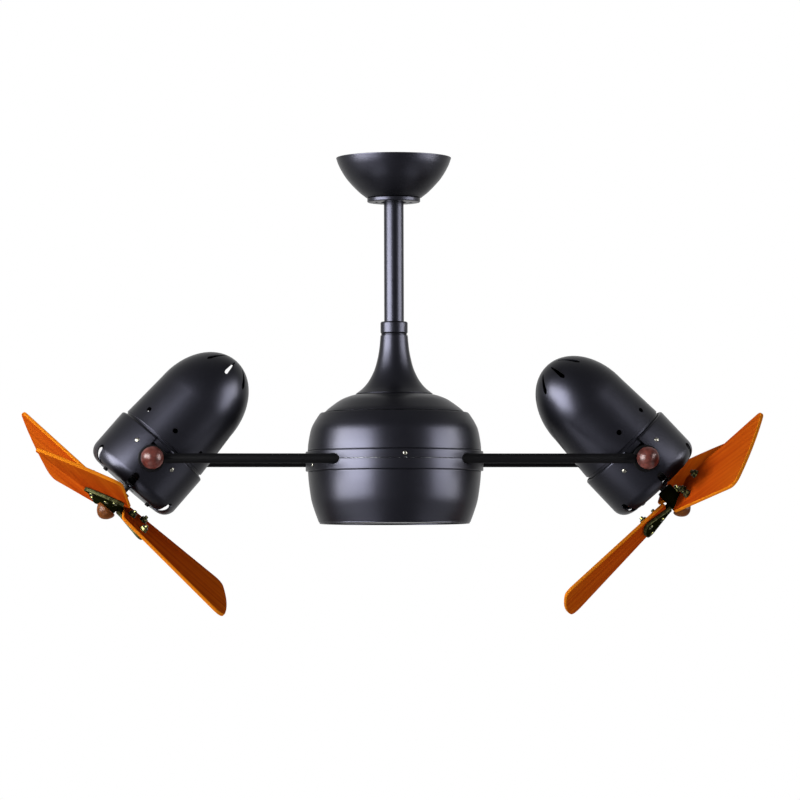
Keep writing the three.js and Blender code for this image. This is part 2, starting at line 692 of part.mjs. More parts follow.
mesh("hanger_bracket", hangerBracket(), steel, fan);
mesh("canopy", canopy(), satinBlack, fan);
mesh("canopy_ring", canopyRing(), satinBlack, fan);
mesh("hanger_ball", hangerBall(), darkPlastic, fan);
mesh("ball_pin", ballPin(), steel, fan);
mesh("downrod", downrod(), satinBlack, fan);
mesh("downrod_collar", downrodCollar(), satinBlack, fan);
mesh("neck_cover", neckCover(), satinBlack, fan);
mesh("top_dome", topDome(), satinBlack, fan);
mesh("yoke_plate", yokePlate(), castAlloy, fan);
mesh("spindle", spindle(), steel, fan);
mesh("upper_bearing", bearing(BEARING, FRAME.hubTop - GAP / 2, COARSE), steel, fan);
mesh("lower_bearing", bearing(BEARING, FRAME.hubBottom + BEARING.height + GAP / 2, COARSE), steel, fan);
mesh("gearmotor", gearmotor(), castAlloy, fan);
mesh("slip_ring", slipRing(), copper, fan);
mesh("drive_pinion", drivePinion(), gearSteel, fan);
mesh("carousel_frame", carouselFrame(), castAlloy, fan);
mesh("ring_gear", ringGear(), gearSteel, fan);
mesh("brush_block", brushBlock(), darkPlastic, fan);
mesh("upper_bowl", upperBowl(), satinBlack, fan);
mesh("lower_bowl", lowerBowl(), satinBlack, fan);
mesh("bottom_plate", bottomPlate(), satinBlack, fan);
mesh("front_rod", arm(-ARM_Y), satinBlack, fan);
mesh("rear_rod", arm(ARM_Y), satinBlack, fan);

for (const { name, side, tilt, firstBlade } of HEADS) {
  const head = new THREE.Group();
  head.position.set(side * PIVOT_X, 0, ARM_Z);
  head.rotation.y = -side * tilt * DEG;
  fan.add(head);
  mesh(`${name}_head_cup`, headCup(), satinBlack, head);
  mesh(`${name}_head_dome`, headDome(), satinBlack, head);
  mesh(`${name}_motor_frame`, motorFrame(), castAlloy, head);
  mesh(`${name}_rear_bell`, rearBell(), castAlloy, head);
  mesh(`${name}_stator`, stator(), copper, head);
  const frontBearing = bearing(HEAD_BEARING, BASKET.bottom + 1, 12);
  const rearBearing = bearing(HEAD_BEARING, BASKET.top + 3 + HEAD_BEARING.height, 12);
  mesh(`${name}_front_bearing`, frontBearing, steel, head);
  mesh(`${name}_rear_bearing`, rearBearing, steel, head);
  mesh(`${name}_front_knob`, knob(1), knobWood, head);
  mesh(`${name}_rear_knob`, knob(-1), knobWood, head);
  mesh(`${name}_motor_shaft`, motorShaft(), steel, head);
  const rotor = new THREE.Group();
  rotor.rotation.z = firstBlade * DEG;
  head.add(rotor);
  mesh(`${name}_hub`, hub(), bronze, rotor);
  mesh(`${name}_nose`, nose(), noseWood, rotor);
  for (let i = 0; i < 3; i++) {
    const place = new THREE.Group();
    place.rotation.z = -i * 120 * DEG;
    rotor.add(place);
    mesh(`${name}_blade_iron_${i + 1}`, pitched(bladeIron()), bronze, place);
    mesh(`${name}_blade_${i + 1}`, pitched(blade()), bladeWood, place);
  }
}

export default fan;
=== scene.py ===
import math

import bmesh
import bpy
from mathutils import Matrix, Quaternion, Vector


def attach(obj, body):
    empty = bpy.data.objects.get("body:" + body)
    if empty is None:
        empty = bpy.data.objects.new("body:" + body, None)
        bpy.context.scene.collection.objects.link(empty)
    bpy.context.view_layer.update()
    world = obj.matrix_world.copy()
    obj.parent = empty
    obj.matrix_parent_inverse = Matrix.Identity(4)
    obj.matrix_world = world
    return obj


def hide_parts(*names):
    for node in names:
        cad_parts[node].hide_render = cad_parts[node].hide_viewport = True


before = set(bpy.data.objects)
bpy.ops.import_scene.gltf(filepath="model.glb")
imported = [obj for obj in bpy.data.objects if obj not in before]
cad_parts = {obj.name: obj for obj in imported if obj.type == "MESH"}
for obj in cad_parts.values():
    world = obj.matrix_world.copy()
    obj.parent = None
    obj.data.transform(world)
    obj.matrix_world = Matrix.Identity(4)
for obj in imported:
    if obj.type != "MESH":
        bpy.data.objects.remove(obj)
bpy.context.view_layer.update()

# ---- studio ----
# The fan hangs high over a plain pale floor in a white room. A soft box at each side lights
# it, and the large cards beside them, which only gloss shows, draw its long highlights.

MM = 0.001
scene = bpy.context.scene
scene.view_settings.view_transform = "Standard"

CAMERA_TURN = math.radians(-5.5)
CAMERA_AWAY = 5.460
CAMERA_Z = -0.583
AIM_Z = -0.3166
AIM_SIDE = 0.0074
CAMERA_ROLL = math.radians(-0.17)
CAMERA_LENS = 189
camera = bpy.data.objects.new("camera", bpy.data.cameras.new("camera"))
scene.collection.objects.link(camera)
scene.camera = camera
camera.data.sensor_width = 36
camera.data.lens = CAMERA_LENS
camera.location = (CAMERA_AWAY * math.sin(CAMERA_TURN), -CAMERA_AWAY * math.cos(CAMERA_TURN), CAMERA_Z)
aim = Vector((AIM_SIDE * math.cos(CAMERA_TURN), AIM_SIDE * math.sin(CAMERA_TURN), AIM_Z))
camera.rotation_mode = "QUATERNION"
straight = (aim - camera.location).to_track_quat("-Z", "Y")
camera.rotation_quaternion = straight @ Quaternion((0, 0, 1), CAMERA_ROLL)


class Signal:
    """One output of a node, which can be used in sums: each sum adds a Math node."""

    def __init__(self, tree, socket=None):
        self.tree = tree
        self.socket = socket

    def node(self, kind, settings, sockets, output=0):
        """Adds a node of a kind: its settings first, then its sockets' values or links."""
        made = self.tree.nodes.new(kind)
        for key, value in settings.items():
            if key == "stops":
                elements = made.color_ramp.elements
                while len(elements) < len(value):
                    elements.new(0.5)
                for element, (position, colour) in zip(elements, value):
                    element.position = position
                    element.color = (*colour, 1)
            else:
                setattr(made, key, value)
        for key, value in sockets.items():
            if isinstance(value, Signal):
                self.tree.links.new(value.socket, made.inputs[key])
            else:
                made.inputs[key].default_value = value
        return Signal(self.tree, made.outputs[output])

    def sum_of(self, operation, a, b):
        return self.node("ShaderNodeMath", {"operation": operation}, {0: a, 1: b})

    def __add__(self, other):
        return self.sum_of("ADD", self, other)

    def __mul__(self, other):
        return self.sum_of("MULTIPLY", self, other)

    def __truediv__(self, other):
        return self.sum_of("DIVIDE", self, other)

    __radd__ = __add__
    __rmul__ = __mul__


ROOM_LIGHT = 0.32  # strength that lights the fan; what is seen or mirrored is white
room = bpy.data.worlds.new("room")
scene.world = room
room.use_nodes = True


def shown_rays(start):
    """1 for a ray that is seen, mirrored or passed through, and 0 for one that lights a surface."""
    kinds = ("Camera", "Glossy", "Transmission")
    rays = [start.node("ShaderNodeLightPath", {}, {}, f"Is {kind} Ray") for kind in kinds]
    return start.sum_of("MINIMUM", rays[0] + rays[1] + rays[2], 1)


white = room.node_tree.nodes["Background"].inputs
white["Color"].default_value = (1, 1, 1, 1)
strength = ROOM_LIGHT + (1 - ROOM_LIGHT) * shown_rays(Signal(room.node_tree))
room.node_tree.links.new(strength.socket, white["Strength"])

# Each box: name, turn from the front (left is negative), elevation, distance, width, height,
# power, and whether it is a card that only gloss shows.
SOFT_BOXES = [
    ("soft_box_left", -70, 14, 3.5, 1.4, 1.2, 98, False),
    ("soft_box_right", 70, -14, 3.0, 1.2, 1.0, 8, False),
    ("gloss_card_left", -63, 4, 2.0, 2.0, 1.5, 850, True),
    ("gloss_card_right", 67, 4, 2.0, 1.5, 1.5, 290, True),
    ("low_card_left", -56, -45, 1.2, 0.8, 0.4, 8, True),
    ("low_card_right", 58, -45, 1.2, 0.8, 0.4, 5, True),
]
MIDDLE = Vector((0, 0, -0.35))
for name, turn, rise, away, width, height, power, gloss_only in SOFT_BOXES:
    lamp = bpy.data.lights.new(name, "AREA")
    lamp.shape = "RECTANGLE"
    lamp.size = width
    lamp.size_y = height
    lamp.energy = power
    box = bpy.data.objects.new(name, lamp)
    scene.collection.objects.link(box)
    box.visible_diffuse = not gloss_only
    box.visible_glossy = gloss_only
    turn, rise = math.radians(turn), math.radians(rise)
    level = math.cos(rise)
    box.location = MIDDLE + away * Vector((math.sin(turn) * level, -math.cos(turn) * level, math.sin(rise)))
    box.rotation_euler = (MIDDLE - box.location).to_track_quat("-Z", "Y").to_euler()

FLOOR_Z = -1.35
FLOOR_R = 4.5
floor_mesh = bmesh.new()
bmesh.ops.create_circle(floor_mesh, cap_ends=True, segments=96, radius=FLOOR_R)
bmesh.ops.translate(floor_mesh, verts=floor_mesh.verts, vec=(0, 0, FLOOR_Z))


def named_piece(name, bm):
    """Puts a finished bmesh in the scene as an object at the origin."""
    data = bpy.data.meshes.new(name)
    bm.to_mesh(data)
    bm.free()
    piece = bpy.data.objects.new(name, data)
    scene.collection.objects.link(piece)
    return piece


def finish_of(name, constants, vary):
    """A finish: constants sit on the shader's own sockets, and vary adds what changes over a surface."""
    material = bpy.data.materials.new(name)
    material.use_nodes = True
    tree = material.node_tree
    shader = tree.nodes["Principled BSDF"]
    for key, value in constants.items():
        shader.inputs[key].default_value = value
    for key, signal in vary(Signal(tree)).items():
        tree.links.new(signal.socket, shader.inputs[key])
    return material


def mixed(mask, low, high):
    """A colour between two others, or between two signals, by a mask."""
    low, high = ((*c, 1) if isinstance(c, tuple) else c for c in (low, high))
    settings = {"data_type": "RGBA", "clamp_factor": True}
    return mask.node("ShaderNodeMix", settings, {0: mask, 6: low, 7: high}, 2)


def place_on(start):
    """Where a point lies on its own piece, in metres."""
    return start.node("ShaderNodeTexCoord", {}, {}, "Object")


def stored(start, name, kind="Fac"):
    """A value that the mesh stores under a name; its kind is Fac or Vector."""
    return start.node("ShaderNodeAttribute", {"attribute_name": name}, {}, kind)


def scaled(place, scale):
    """A place scaled by its own factor on each axis."""
    return place.node("ShaderNodeMapping", {}, {"Vector": place, "Scale": scale})


def noise_at(place, scale, detail=2.0, rough=0.5):
    """Noise over a place, from 0 to 1."""
    sockets = {"Vector": place, "Scale": scale, "Detail": detail, "Roughness": rough}
    return place.node("ShaderNodeTexNoise", {}, sockets)


def bump_of(height, strength, depth):
    """The normal of a surface that rises by a height signal, up to a depth in metres."""
    return height.node("ShaderNodeBump", {}, {"Height": height, "Strength": strength, "Distance": depth})


def stepped(signal, low, high):
    """The signal stretched so that low becomes 0 and high becomes 1."""
    return signal.node("ShaderNodeMapRange", {}, {"Value": signal, "From Min": low, "From Max": high})


def pale_floor(start):
    """Pale grey, made as light as the room where it is seen or mirrored."""
    cloud = noise_at(place_on(start), 1.5)
    return {"Base Color": mixed(cloud, (0.86, 0.86, 0.86), (0.9, 0.9, 0.9)),
            "Emission Color": mixed(shown_rays(start), (0, 0, 0), (0.52, 0.52, 0.52))}


floor = named_piece("floor", floor_mesh)
floor.data.materials.append(finish_of(
    "pale_floor", {"Roughness": 1, "Specular IOR Level": 0, "Emission Strength": 1}, pale_floor))

# ---- hanger bracket ----
# Zinc plated strap of pressed steel: a slotted plate against the ceiling box, two legs and
# the round seat in which the hanger ball sits. The rod is lifted in through the seat's gap.

BALL_Z = -27
BALL_R = 26
STRAP_T = 2.5
SEAT_Z = -41
ALMOST_STRAIGHT = 88  # a corner whose half angle is over this stays as it is


def board(outline, bottom, top):
    """Flat piece cut to an outline of (x, y) points, between two heights."""
    bm = bmesh.new()
    low, high = ([bm.verts.new((x * MM, y * MM, z * MM)) for x, y in outline] for z in (bottom, top))
    bm.faces.new(low)
    bm.faces.new(high)
    for i in range(len(outline)):
        j = (i + 1) % len(outline)
        bm.faces.new((low[i], low[j], high[j], high[i]))
    bmesh.ops.recalc_face_normals(bm, faces=bm.faces)
    return bm


def box_between(low, high):
    """Square block between two opposite corners."""
    (x0, y0, z0), (x1, y1, z1) = low, high
    return board([(x0, y0), (x1, y0), (x1, y1), (x0, y1)], z0, z1)


def eased(corners, steps=4):
    """A closed outline whose corners may have a third number, the radius that rounds them."""
    points = []
    for i, corner in enumerate(corners):
        here = Vector(corner[:2])
        radius = corner[2] if len(corner) > 2 else 0
        back = (Vector(corners[i - 1][:2]) - here)
        ahead = (Vector(corners[(i + 1) % len(corners)][:2]) - here)
        if radius == 0 or back.length == 0 or ahead.length == 0:
            points.append(tuple(here))
            continue
        half = back.angle(ahead) / 2
        if half > math.radians(ALMOST_STRAIGHT):
            points.append(tuple(here))
            continue
        reach = min(radius / math.tan(half), back.length * 0.49, ahead.length * 0.49)
        radius = reach * math.tan(half)
        back.normalize()
        ahead.normalize()
        centre = here + (back + ahead).normalized() * radius / math.sin(half)
        first = here + back * reach - centre
        last = here + ahead * reach - centre
        sweep = first.angle_signed(last)
        for k in range(steps + 1):
            turned_by = -sweep * k / steps
            c, s = math.cos(turned_by), math.sin(turned_by)
            points.append((centre.x + first.x * c - first.y * s, centre.y + first.x * s + first.y * c))
    return points


def lathe(profile, steps=96):
    """Turned piece about Z: a closed profile of (radius, height) points in millimetres."""
    bm = bmesh.new()
    rings = []
    for r, z in profile:
        count = 1 if r < 1e-4 else steps
        angles = [2 * math.pi * k / steps for k in range(count)]
        rings.append([bm.verts.new((r * MM * math.cos(a), r * MM * math.sin(a), z * MM)) for a in angles])
    for low, high in zip(rings, rings[1:] + rings[:1]):
        if len(low) == 1 and len(high) == 1:
            continue
        for k in range(steps):
            j = (k + 1) % steps
            corners = [low[k % len(low)], low[j % len(low)], high[j % len(high)], high[k % len(high)]]
            bm.faces.new(list(dict.fromkeys(corners)))
    bmesh.ops.remove_doubles(bm, verts=bm.verts, dist=1e-7)
    bmesh.ops.recalc_face_normals(bm, faces=bm.faces)
    return bm


def rod_between(a, b, r, steps=48, edge=0.0):
    """Round bar from a to b, with its ends eased by an edge."""
    along = Vector(b) - Vector(a)
    length = along.length
    bm = lathe(eased([(0, 0), (r, 0, edge), (r, length, edge), (0, length)]), steps)
    turn = along.to_track_quat("Z", "Y").to_matrix().to_4x4()
    bm.transform(Matrix.Translation(Vector(a) * MM) @ turn)
    return bm


def smoothed(piece, crease=32):
    """Smooth shading, broken at edges sharper than the crease."""
    piece.data.shade_smooth()
    piece.data.set_sharp_from_angle(angle=math.radians(crease))
    return piece


def settled(piece, crease=32):
    """Turns what the piece's modifiers make into its plain mesh."""
    graph = bpy.context.evaluated_depsgraph_get()
    made = bpy.data.meshes.new_from_object(piece.evaluated_get(graph), depsgraph=graph)
    old = piece.data
    piece.modifiers.clear()
    piece.data = made
    bpy.data.meshes.remove(old)
    made.name = piece.name
    return smoothed(piece, crease)


def cut(piece, *tools, operation="DIFFERENCE"):
    """Cuts tools out of a piece, or joins them to it."""
    made = [named_piece("tool", tool) for tool in tools]
    for tool in made:
        step = piece.modifiers.new("cut", "BOOLEAN")
        step.object = tool
        step.operation = operation
        step.solver = "EXACT"
    settled(piece)
    for tool in made:
        bpy.data.objects.remove(tool)
    return piece


def broken_edges(piece, width, segments=2, angle=40):
    """Breaks a piece's sharp edges with a small bevel."""
    step = piece.modifiers.new("edge", "BEVEL")
    step.width = width * MM
    step.segments = segments
    step.limit_method = "ANGLE"
    step.angle_limit = math.radians(angle)
    step.use_clamp_overlap = True
    step.harden_normals = False
    return settled(piece)


def zinc_detail(start):
    place = place_on(start)
    spangle = noise_at(place, 90, 3)
    scuff = noise_at(scaled(place, (40, 400, 400)), 1, 4)
    colour = mixed(stepped(spangle, 0.3, 0.7), (0.3, 0.305, 0.32), (0.44, 0.445, 0.455))
    rough = 0.24 + 0.22 * scuff
    bump = bump_of(scuff, 0.15, 0.0002)
    return {"Base Color": colour, "Roughness": rough, "Normal": bump}


zinc = finish_of("zinc_plate", {"Metallic": 0.9}, zinc_detail)

PLATE_HALF = (59, 18)
PLATE_CORNER = 7
LEG_X = 40
LEG_HALF = 12
SEAT_R = 42
BALL_ROOM = 0.3
SLOT_X = 49
SLOT_HALF = (6, 2.5)
SLOT_CORNER = 2.4
WIRE_HOLE_X = 22
WIRE_HOLE_R = 6
ENTRY_HALF = 13.85


def rounded_block(x, half, corner, bottom, top):
    """Board about (x, 0) with four rounded corners, between two heights."""
    sides = ((-1, -1), (1, -1), (1, 1), (-1, 1))
    corners = [(x + i * half[0], j * half[1], corner) for i, j in sides]
    return board(eased(corners, 6), bottom, top)


bracket = named_piece("ceiling_bracket", rounded_block(0, PLATE_HALF, PLATE_CORNER, -STRAP_T, 0))
seat_hole = math.sqrt(BALL_R**2 - (SEAT_Z - BALL_Z) ** 2) + BALL_ROOM
seat_foot = SEAT_Z - STRAP_T
seat = lathe([(seat_hole, seat_foot), (SEAT_R, seat_foot), (SEAT_R, SEAT_Z),
              (seat_hole + 1.5, SEAT_Z), (seat_hole, SEAT_Z - 1.2)])
legs = []
for s in (-1, 1):
    outer_x = s * LEG_X
    inner_x = outer_x - s * STRAP_T
    left_x, right_x = sorted((outer_x, inner_x))
    legs.append(box_between((left_x, -LEG_HALF, seat_foot), (right_x, LEG_HALF, -1)))
cut(bracket, seat, *legs, operation="UNION")
slots = [rounded_block(x, SLOT_HALF, SLOT_CORNER, -6, 3) for x in (-SLOT_X, SLOT_X)]
wire_holes = [rod_between((x, 0, -6), (x, 0, 3), WIRE_HOLE_R) for x in (-WIRE_HOLE_X, WIRE_HOLE_X)]
entry = box_between((-ENTRY_HALF, 0, seat_foot - 3), (ENTRY_HALF, SEAT_R + 1, SEAT_Z + 3))
cut(bracket, entry, *slots, *wire_holes)
broken_edges(bracket, 0.5)
bracket.data.materials.append(zinc)
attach(bracket, "ceiling_mount")
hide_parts("hanger_bracket")

# ---- hanger ball and its pin ----
# Moulded ball, bored for the rod and crossed by a steel pin that carries the whole fan.
# It lies loose in the bracket's seat, so that the rod hangs plumb.


def two_toned(skin, patch, dark, light, rough, bump):
    """Two tones in patches, with a fine skin that raises and roughens the surface a little."""

    def vary(start):
        place = place_on(start)
        grain = noise_at(place, *skin)
        colour = mixed(noise_at(place, *patch), dark, light)
        sheen = rough[0] + rough[1] * grain
        return {"Base Color": colour, "Roughness": sheen, "Normal": bump_of(grain, *bump)}

    return vary


moulding = finish_of("black_moulding", {}, two_toned(
    (1400, 2), (60, 3), (0.014, 0.014, 0.015), (0.028, 0.028, 0.03), (0.48, 0.14), (0.25, 0.0002)))

BALL_BORE = 14.7
BALL_TOP = 17
BALL_FOOT = 18
PIN_R = 3
PIN_HALF = 23
BALL_STEPS = 32
lowest = -math.asin(BALL_FOOT / BALL_R)
highest = math.asin(BALL_TOP / BALL_R)
ball_line = []
for k in range(BALL_STEPS + 1):
    a = lowest + k / BALL_STEPS * (highest - lowest)
    ball_line.append((BALL_R * math.cos(a), BALL_Z + BALL_R * math.sin(a)))
bore_line = [(BALL_BORE, BALL_Z + BALL_TOP), (BALL_BORE, BALL_Z - BALL_FOOT)]
ball = named_piece("moulded_ball", lathe([*ball_line, *bore_line]))
cut(ball, rod_between((0, -BALL_R - 1, BALL_Z), (0, BALL_R + 1, BALL_Z), PIN_R + 0.3))
ball.data.materials.append(moulding)
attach(ball, "hanger_ball")
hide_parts("hanger_ball")

pin_bar = rod_between((0, -PIN_HALF, BALL_Z), (0, PIN_HALF, BALL_Z), PIN_R, edge=0.6)
pin = smoothed(named_piece("cross_pin", pin_bar))
pin.data.materials.append(zinc)
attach(pin, "hanger")
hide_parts("ball_pin")

# ---- canopy ----
# Spun steel bell with a satin black coat. It closes against the ceiling over the bracket,
# and its flat floor has the hole through which the rod passes.

SHEET = 1.5


def flowing(points, steps=28):
    """Points of a smooth line through the given (radius, height) points."""
    line = []
    last = len(points) - 1
    for k in range(steps + 1):
        along = last * k / steps
        i = min(int(along), last - 1)
        t = along - i
        near = [points[min(max(i + d, 0), last)] for d in (-1, 0, 1, 2)]
        point = []
        for p0, p1, p2, p3 in zip(*near):
            v0, v1 = (p2 - p0) / 2, (p3 - p1) / 2
            cube = (2 * p1 - 2 * p2 + v0 + v1) * t**3
            square = (-3 * p1 + 3 * p2 - 2 * v0 - v1) * t**2
            point.append(cube + square + v0 * t + p1)
        line.append(tuple(point))
    return line


def inset(line, wall=SHEET):
    """The same line moved inwards by a wall, for a line that runs upwards on the outside."""
    moved = []
    for i, (r, z) in enumerate(line):
        (r0, z0), (r1, z1) = line[max(i - 1, 0)], line[min(i + 1, len(line) - 1)]
        length = math.hypot(r1 - r0, z1 - z0)
        moved.append((r - wall * (z1 - z0) / length, z + wall * (r1 - r0) / length))
    return moved


def coat_detail(start):
    place = place_on(start)
    peel = noise_at(place, 420, 2)
    cloud = noise_at(place, 14, 4, 0.6)
    dust = stepped(noise_at(place, 1900, 1), 0.66, 0.74)
    colour = mixed(cloud, (0.0012, 0.0012, 0.0017), (0.0028, 0.0028, 0.0036))
    colour = mixed(dust * 0.25, colour, (0.012, 0.012, 0.014))
    rough = 0.27 + 0.09 * cloud + 0.06 * peel
    bump = bump_of(peel, 0.12, 0.0003)
    return {"Base Color": colour, "Roughness": rough, "Normal": bump}


coat = finish_of(
    "satin_black_coat", {"Specular IOR Level": 0.097, "Specular Tint": (0.74, 0.75, 1, 1)}, coat_detail)

CANOPY_FLOOR = -52.5
CANOPY_HOLE = 17
CANOPY_SIDE = [(37.4, -51.2), (46.7, -43.6), (61.1, -28), (70.6, -12.4), (75, -1)]
side = flowing(CANOPY_SIDE)
inner = inset(side)[::-1]
rim = [(75, -0.4, 0.4), (73.4, -0.4, 0.4)]
canopy = named_piece("canopy_bell", lathe(eased([
    (CANOPY_HOLE, CANOPY_FLOOR, 0.3), (35.8, CANOPY_FLOOR, 0.9), *side, *rim, *inner[1:-1],
    (35.2, CANOPY_FLOOR + SHEET, 0.6), (CANOPY_HOLE, CANOPY_FLOOR + SHEET)])))
smoothed(canopy)
canopy.data.materials.append(coat)
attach(canopy, "ceiling_mount")
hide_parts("canopy")

# ---- canopy ring ----
# Turned cover ring under the canopy. Two keyholes in its flat underside slip over the
# screw heads that hold the canopy up, and hide them.

RING_R = 34.5
RING_BORE = 16.4
RING_TOP = -52.8
RING_BOTTOM = -58.5
KEYHOLE_X = 22
KEYHOLE_R = 2.7
KEYHOLE_TOP = -54.5
KEYHOLE_SLOT_HALF = 1.3
KEYHOLE_SLOT = 6

ring_corners = [(RING_BORE, RING_BOTTOM, 0.5), (RING_R, RING_BOTTOM, 1.4),
                (RING_R, RING_TOP, 1.2), (RING_BORE, RING_TOP, 0.3)]
canopy_ring = named_piece("keyhole_ring", lathe(eased(ring_corners, 5)))
keyholes = []
below = RING_BOTTOM - 1.5
for s in (-1, 1):
    x = s * KEYHOLE_X
    first_y, last_y = (-KEYHOLE_SLOT, 0) if s > 0 else (0, KEYHOLE_SLOT)
    keyholes.append(rod_between((x, 0, below), (x, 0, KEYHOLE_TOP), KEYHOLE_R))
    left_x, right_x = x - KEYHOLE_SLOT_HALF, x + KEYHOLE_SLOT_HALF
    keyholes.append(box_between((left_x, first_y, below), (right_x, last_y, KEYHOLE_TOP)))
cut(canopy_ring, *keyholes)
canopy_ring.data.materials.append(coat)
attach(canopy_ring, "ceiling_mount")
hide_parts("canopy_ring")

# ---- down rod, collar and neck ----
# Steel pipe coated like the rest, pinned in the ball above and screwed into the yoke below.
# A turned collar and a flared spun neck slide over it and cover the yoke.

ROD_R = 12.85
ROD_BORE = 10.6
ROD_TOP = -12
ROD_FOOT = -290
COLLAR_R = 17.7
COLLAR_BORE = 13.1
COLLAR_TOP = -214.5
COLLAR_FOOT = -230.1
pipe = smoothed(named_piece("down_pipe", lathe(eased([
    (ROD_BORE, ROD_FOOT), (ROD_R, ROD_FOOT, 0.4), (ROD_R, ROD_TOP, 0.5), (ROD_BORE, ROD_TOP, 0.3)]))))
pipe = cut(pipe, rod_between((0, -20, BALL_Z), (0, 20, BALL_Z), PIN_R + 0.2))
collar = smoothed(named_piece("pipe_collar", lathe(eased([
    (COLLAR_BORE, COLLAR_FOOT, 0.3), (COLLAR_R, COLLAR_FOOT, 2),
    (COLLAR_R, COLLAR_TOP, 2.2), (COLLAR_BORE, COLLAR_TOP, 0.4)], 6))))
NECK_FLARE = [(49.9, -308.4), (40.7, -301), (32.4, -290.6), (25, -275), (20, -254.2), (17.8, -233.4)]
side = flowing(NECK_FLARE, 36)
inner = inset(side)[::-1]
neck = smoothed(named_piece("neck_flare", lathe(eased([
    (47.4, -308.8, 0.3), (50, -308.8, 0.5), *side, (17.7, -232.4, 0.4), (16.1, -232.1), (16.1, -231.6),
    (17, -231.2, 0.3), (17, -230.5, 0.3), (13.4, -230.4), (13.4, -236), (16.2, -237), *inner[1:]]))))
for piece, node in ((pipe, "downrod"), (collar, "downrod_collar"), (neck, "neck_cover")):
    piece.data.materials.append(coat)
    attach(piece, "hanger")
    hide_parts(node)

# ---- top cover ----
# Shallow spun dish that closes the top of the carousel and stands still with the rod.

DISH_SIDE = [(90.2, -332.0), (84.8, -327), (70.1, -316.6), (57.7, -311.4), (48.5, -309.1)]
side = flowing(DISH_SIDE)
inner = inset(side)[::-1]
dish = smoothed(named_piece("top_dish", lathe(eased([
    (87.8, -332.2, 0.3), (90.3, -332.2, 0.4), *side, (19.2, -309.1), (19.2, -310.6), *inner[1:]]))))
dish.data.materials.append(coat)
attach(dish, "hanger")
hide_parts("top_dome")

# ---- yoke, spindle and drive ----
# Cast yoke screwed to the pipe, a hollow steel spindle on two sealed bearings, the geared
# motor that turns the carousel, and the slip ring that feeds the heads. All hidden in use.


def lined(scale, dark, light, rough, bump):
    """Two tones in lines, from noise that each axis scales by its own factor."""

    def vary(start):
        lines = noise_at(scaled(place_on(start), scale), 1, 2)
        sheen = rough[0] + rough[1] * lines
        return {"Base Color": mixed(lines, dark, light), "Roughness": sheen, "Normal": bump_of(lines, *bump)}

    return vary


def filmed(film, steps, dark, light, rough):
    """Two tones of a smooth metal under a patchy film, which also roughens it."""

    def vary(start):
        cover = noise_at(place_on(start), *film)
        colour = mixed(stepped(cover, *steps), dark, light)
        return {"Base Color": colour, "Roughness": rough[0] + rough[1] * cover}

    return vary


cast = finish_of("cast_alloy", {"Metallic": 0.8}, two_toned(
    (700, 4, 0.6), (35, 3), (0.26, 0.27, 0.28), (0.4, 0.41, 0.42), (0.42, 0.2), (0.5, 0.0003)))
# Near black, for the motor casting and the motor parts inside each head.
near_black = finish_of("blackened_iron", {"Specular IOR Level": 0.1}, two_toned(
    (500, 4, 0.6), (45, 3), (0.006, 0.006, 0.007), (0.02, 0.02, 0.021), (0.5, 0.2), (0.4, 0.0003)))
turned_steel = finish_of("turned_steel", {"Metallic": 1}, lined(
    (90, 90, 2600), (0.46, 0.46, 0.47), (0.62, 0.62, 0.63), (0.2, 0.16), (0.1, 0.0001)))
oiled = finish_of("oiled_gear_steel", {"Metallic": 0.9}, filmed(
    (120, 4), (0.35, 0.65), (0.1, 0.095, 0.085), (0.24, 0.24, 0.245), (0.22, 0.25)))
winding = finish_of("enamelled_copper", {"Metallic": 0.8}, lined(
    (500, 500, 2200), (0.28, 0.085, 0.03), (0.5, 0.2, 0.08), (0.3, 0.2), (0.6, 0.0004)))


def dress(node, material):
    """Gives a CAD node that is shown as it is its finish."""
    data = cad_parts[node].data
    data.materials.clear()
    data.materials.append(material)


for node, material in {
    "yoke_plate": cast, "gearmotor": cast, "carousel_frame": cast,
    "spindle": turned_steel, "upper_bearing": turned_steel, "lower_bearing": turned_steel,
    "slip_ring": winding, "drive_pinion": oiled, "ring_gear": oiled, "brush_block": moulding,
}.items():
    dress(node, material)

# ---- carousel bowls ----
# Two spun bowls that meet in a flat band round the arms. The upper one is open at the top
# under the dish, the lower one is closed by a pressed plate. Small screws hold the bands.

ARM_Z = -395.2
ARM_Y = 77.4
ARM_R = 6.35
BAND_R = 115.6

shoulder = flowing([(112.9, -382.4), (112, -372), (108.8, -355.6), (104.1, -345.2), (97.4, -334.9)])
upper_inner = inset(shoulder)[::-1]
upper = named_piece("upper_bowl_shell", lathe(eased([
    (113.1, -395.05, 0.2), (BAND_R, -395.05, 0.5), (BAND_R, -384, 0.8), (112.7, -383.9, 0.2),
    (112.4, -383.2, 0.2), *shoulder, (95.9, -333.4, 0.8), (88, -333.4, 0.5), (88, -334.9),
    (94.6, -334.9), *upper_inner[1:], (111, -386), (113.1, -386)]), 128))
wall = flowing([(98.6, -475.4), (103.5, -462.2), (108.2, -446.6), (111.3, -425.8), (112.6, -410.4)])
lower_inner = inset(wall)[::-1]
lower = named_piece("lower_bowl_shell", lathe(eased([
    (94.5, -477.6, 0.5), (97.6, -477.6, 0.9), (97.7, -475.9, 0.2), *wall, (112.2, -409.6, 0.2),
    (112.5, -409.2, 0.2), (BAND_R, -409.2, 0.8), (BAND_R, -395.35, 0.5), (113.1, -395.35, 0.2),
    (113.1, -408), *lower_inner[1:-1], (97.4, -474.2), (94.5, -476.1)]), 128))
ARM_HOLE = ARM_R + 0.6
for bowl, node in ((upper, "upper_bowl"), (lower, "lower_bowl")):
    cut(bowl, *[rod_between((-120, y, ARM_Z), (120, y, ARM_Z), ARM_HOLE) for y in (-ARM_Y, ARM_Y)])
    bowl.data.materials.append(coat)
    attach(bowl, "carousel")
    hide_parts(node)

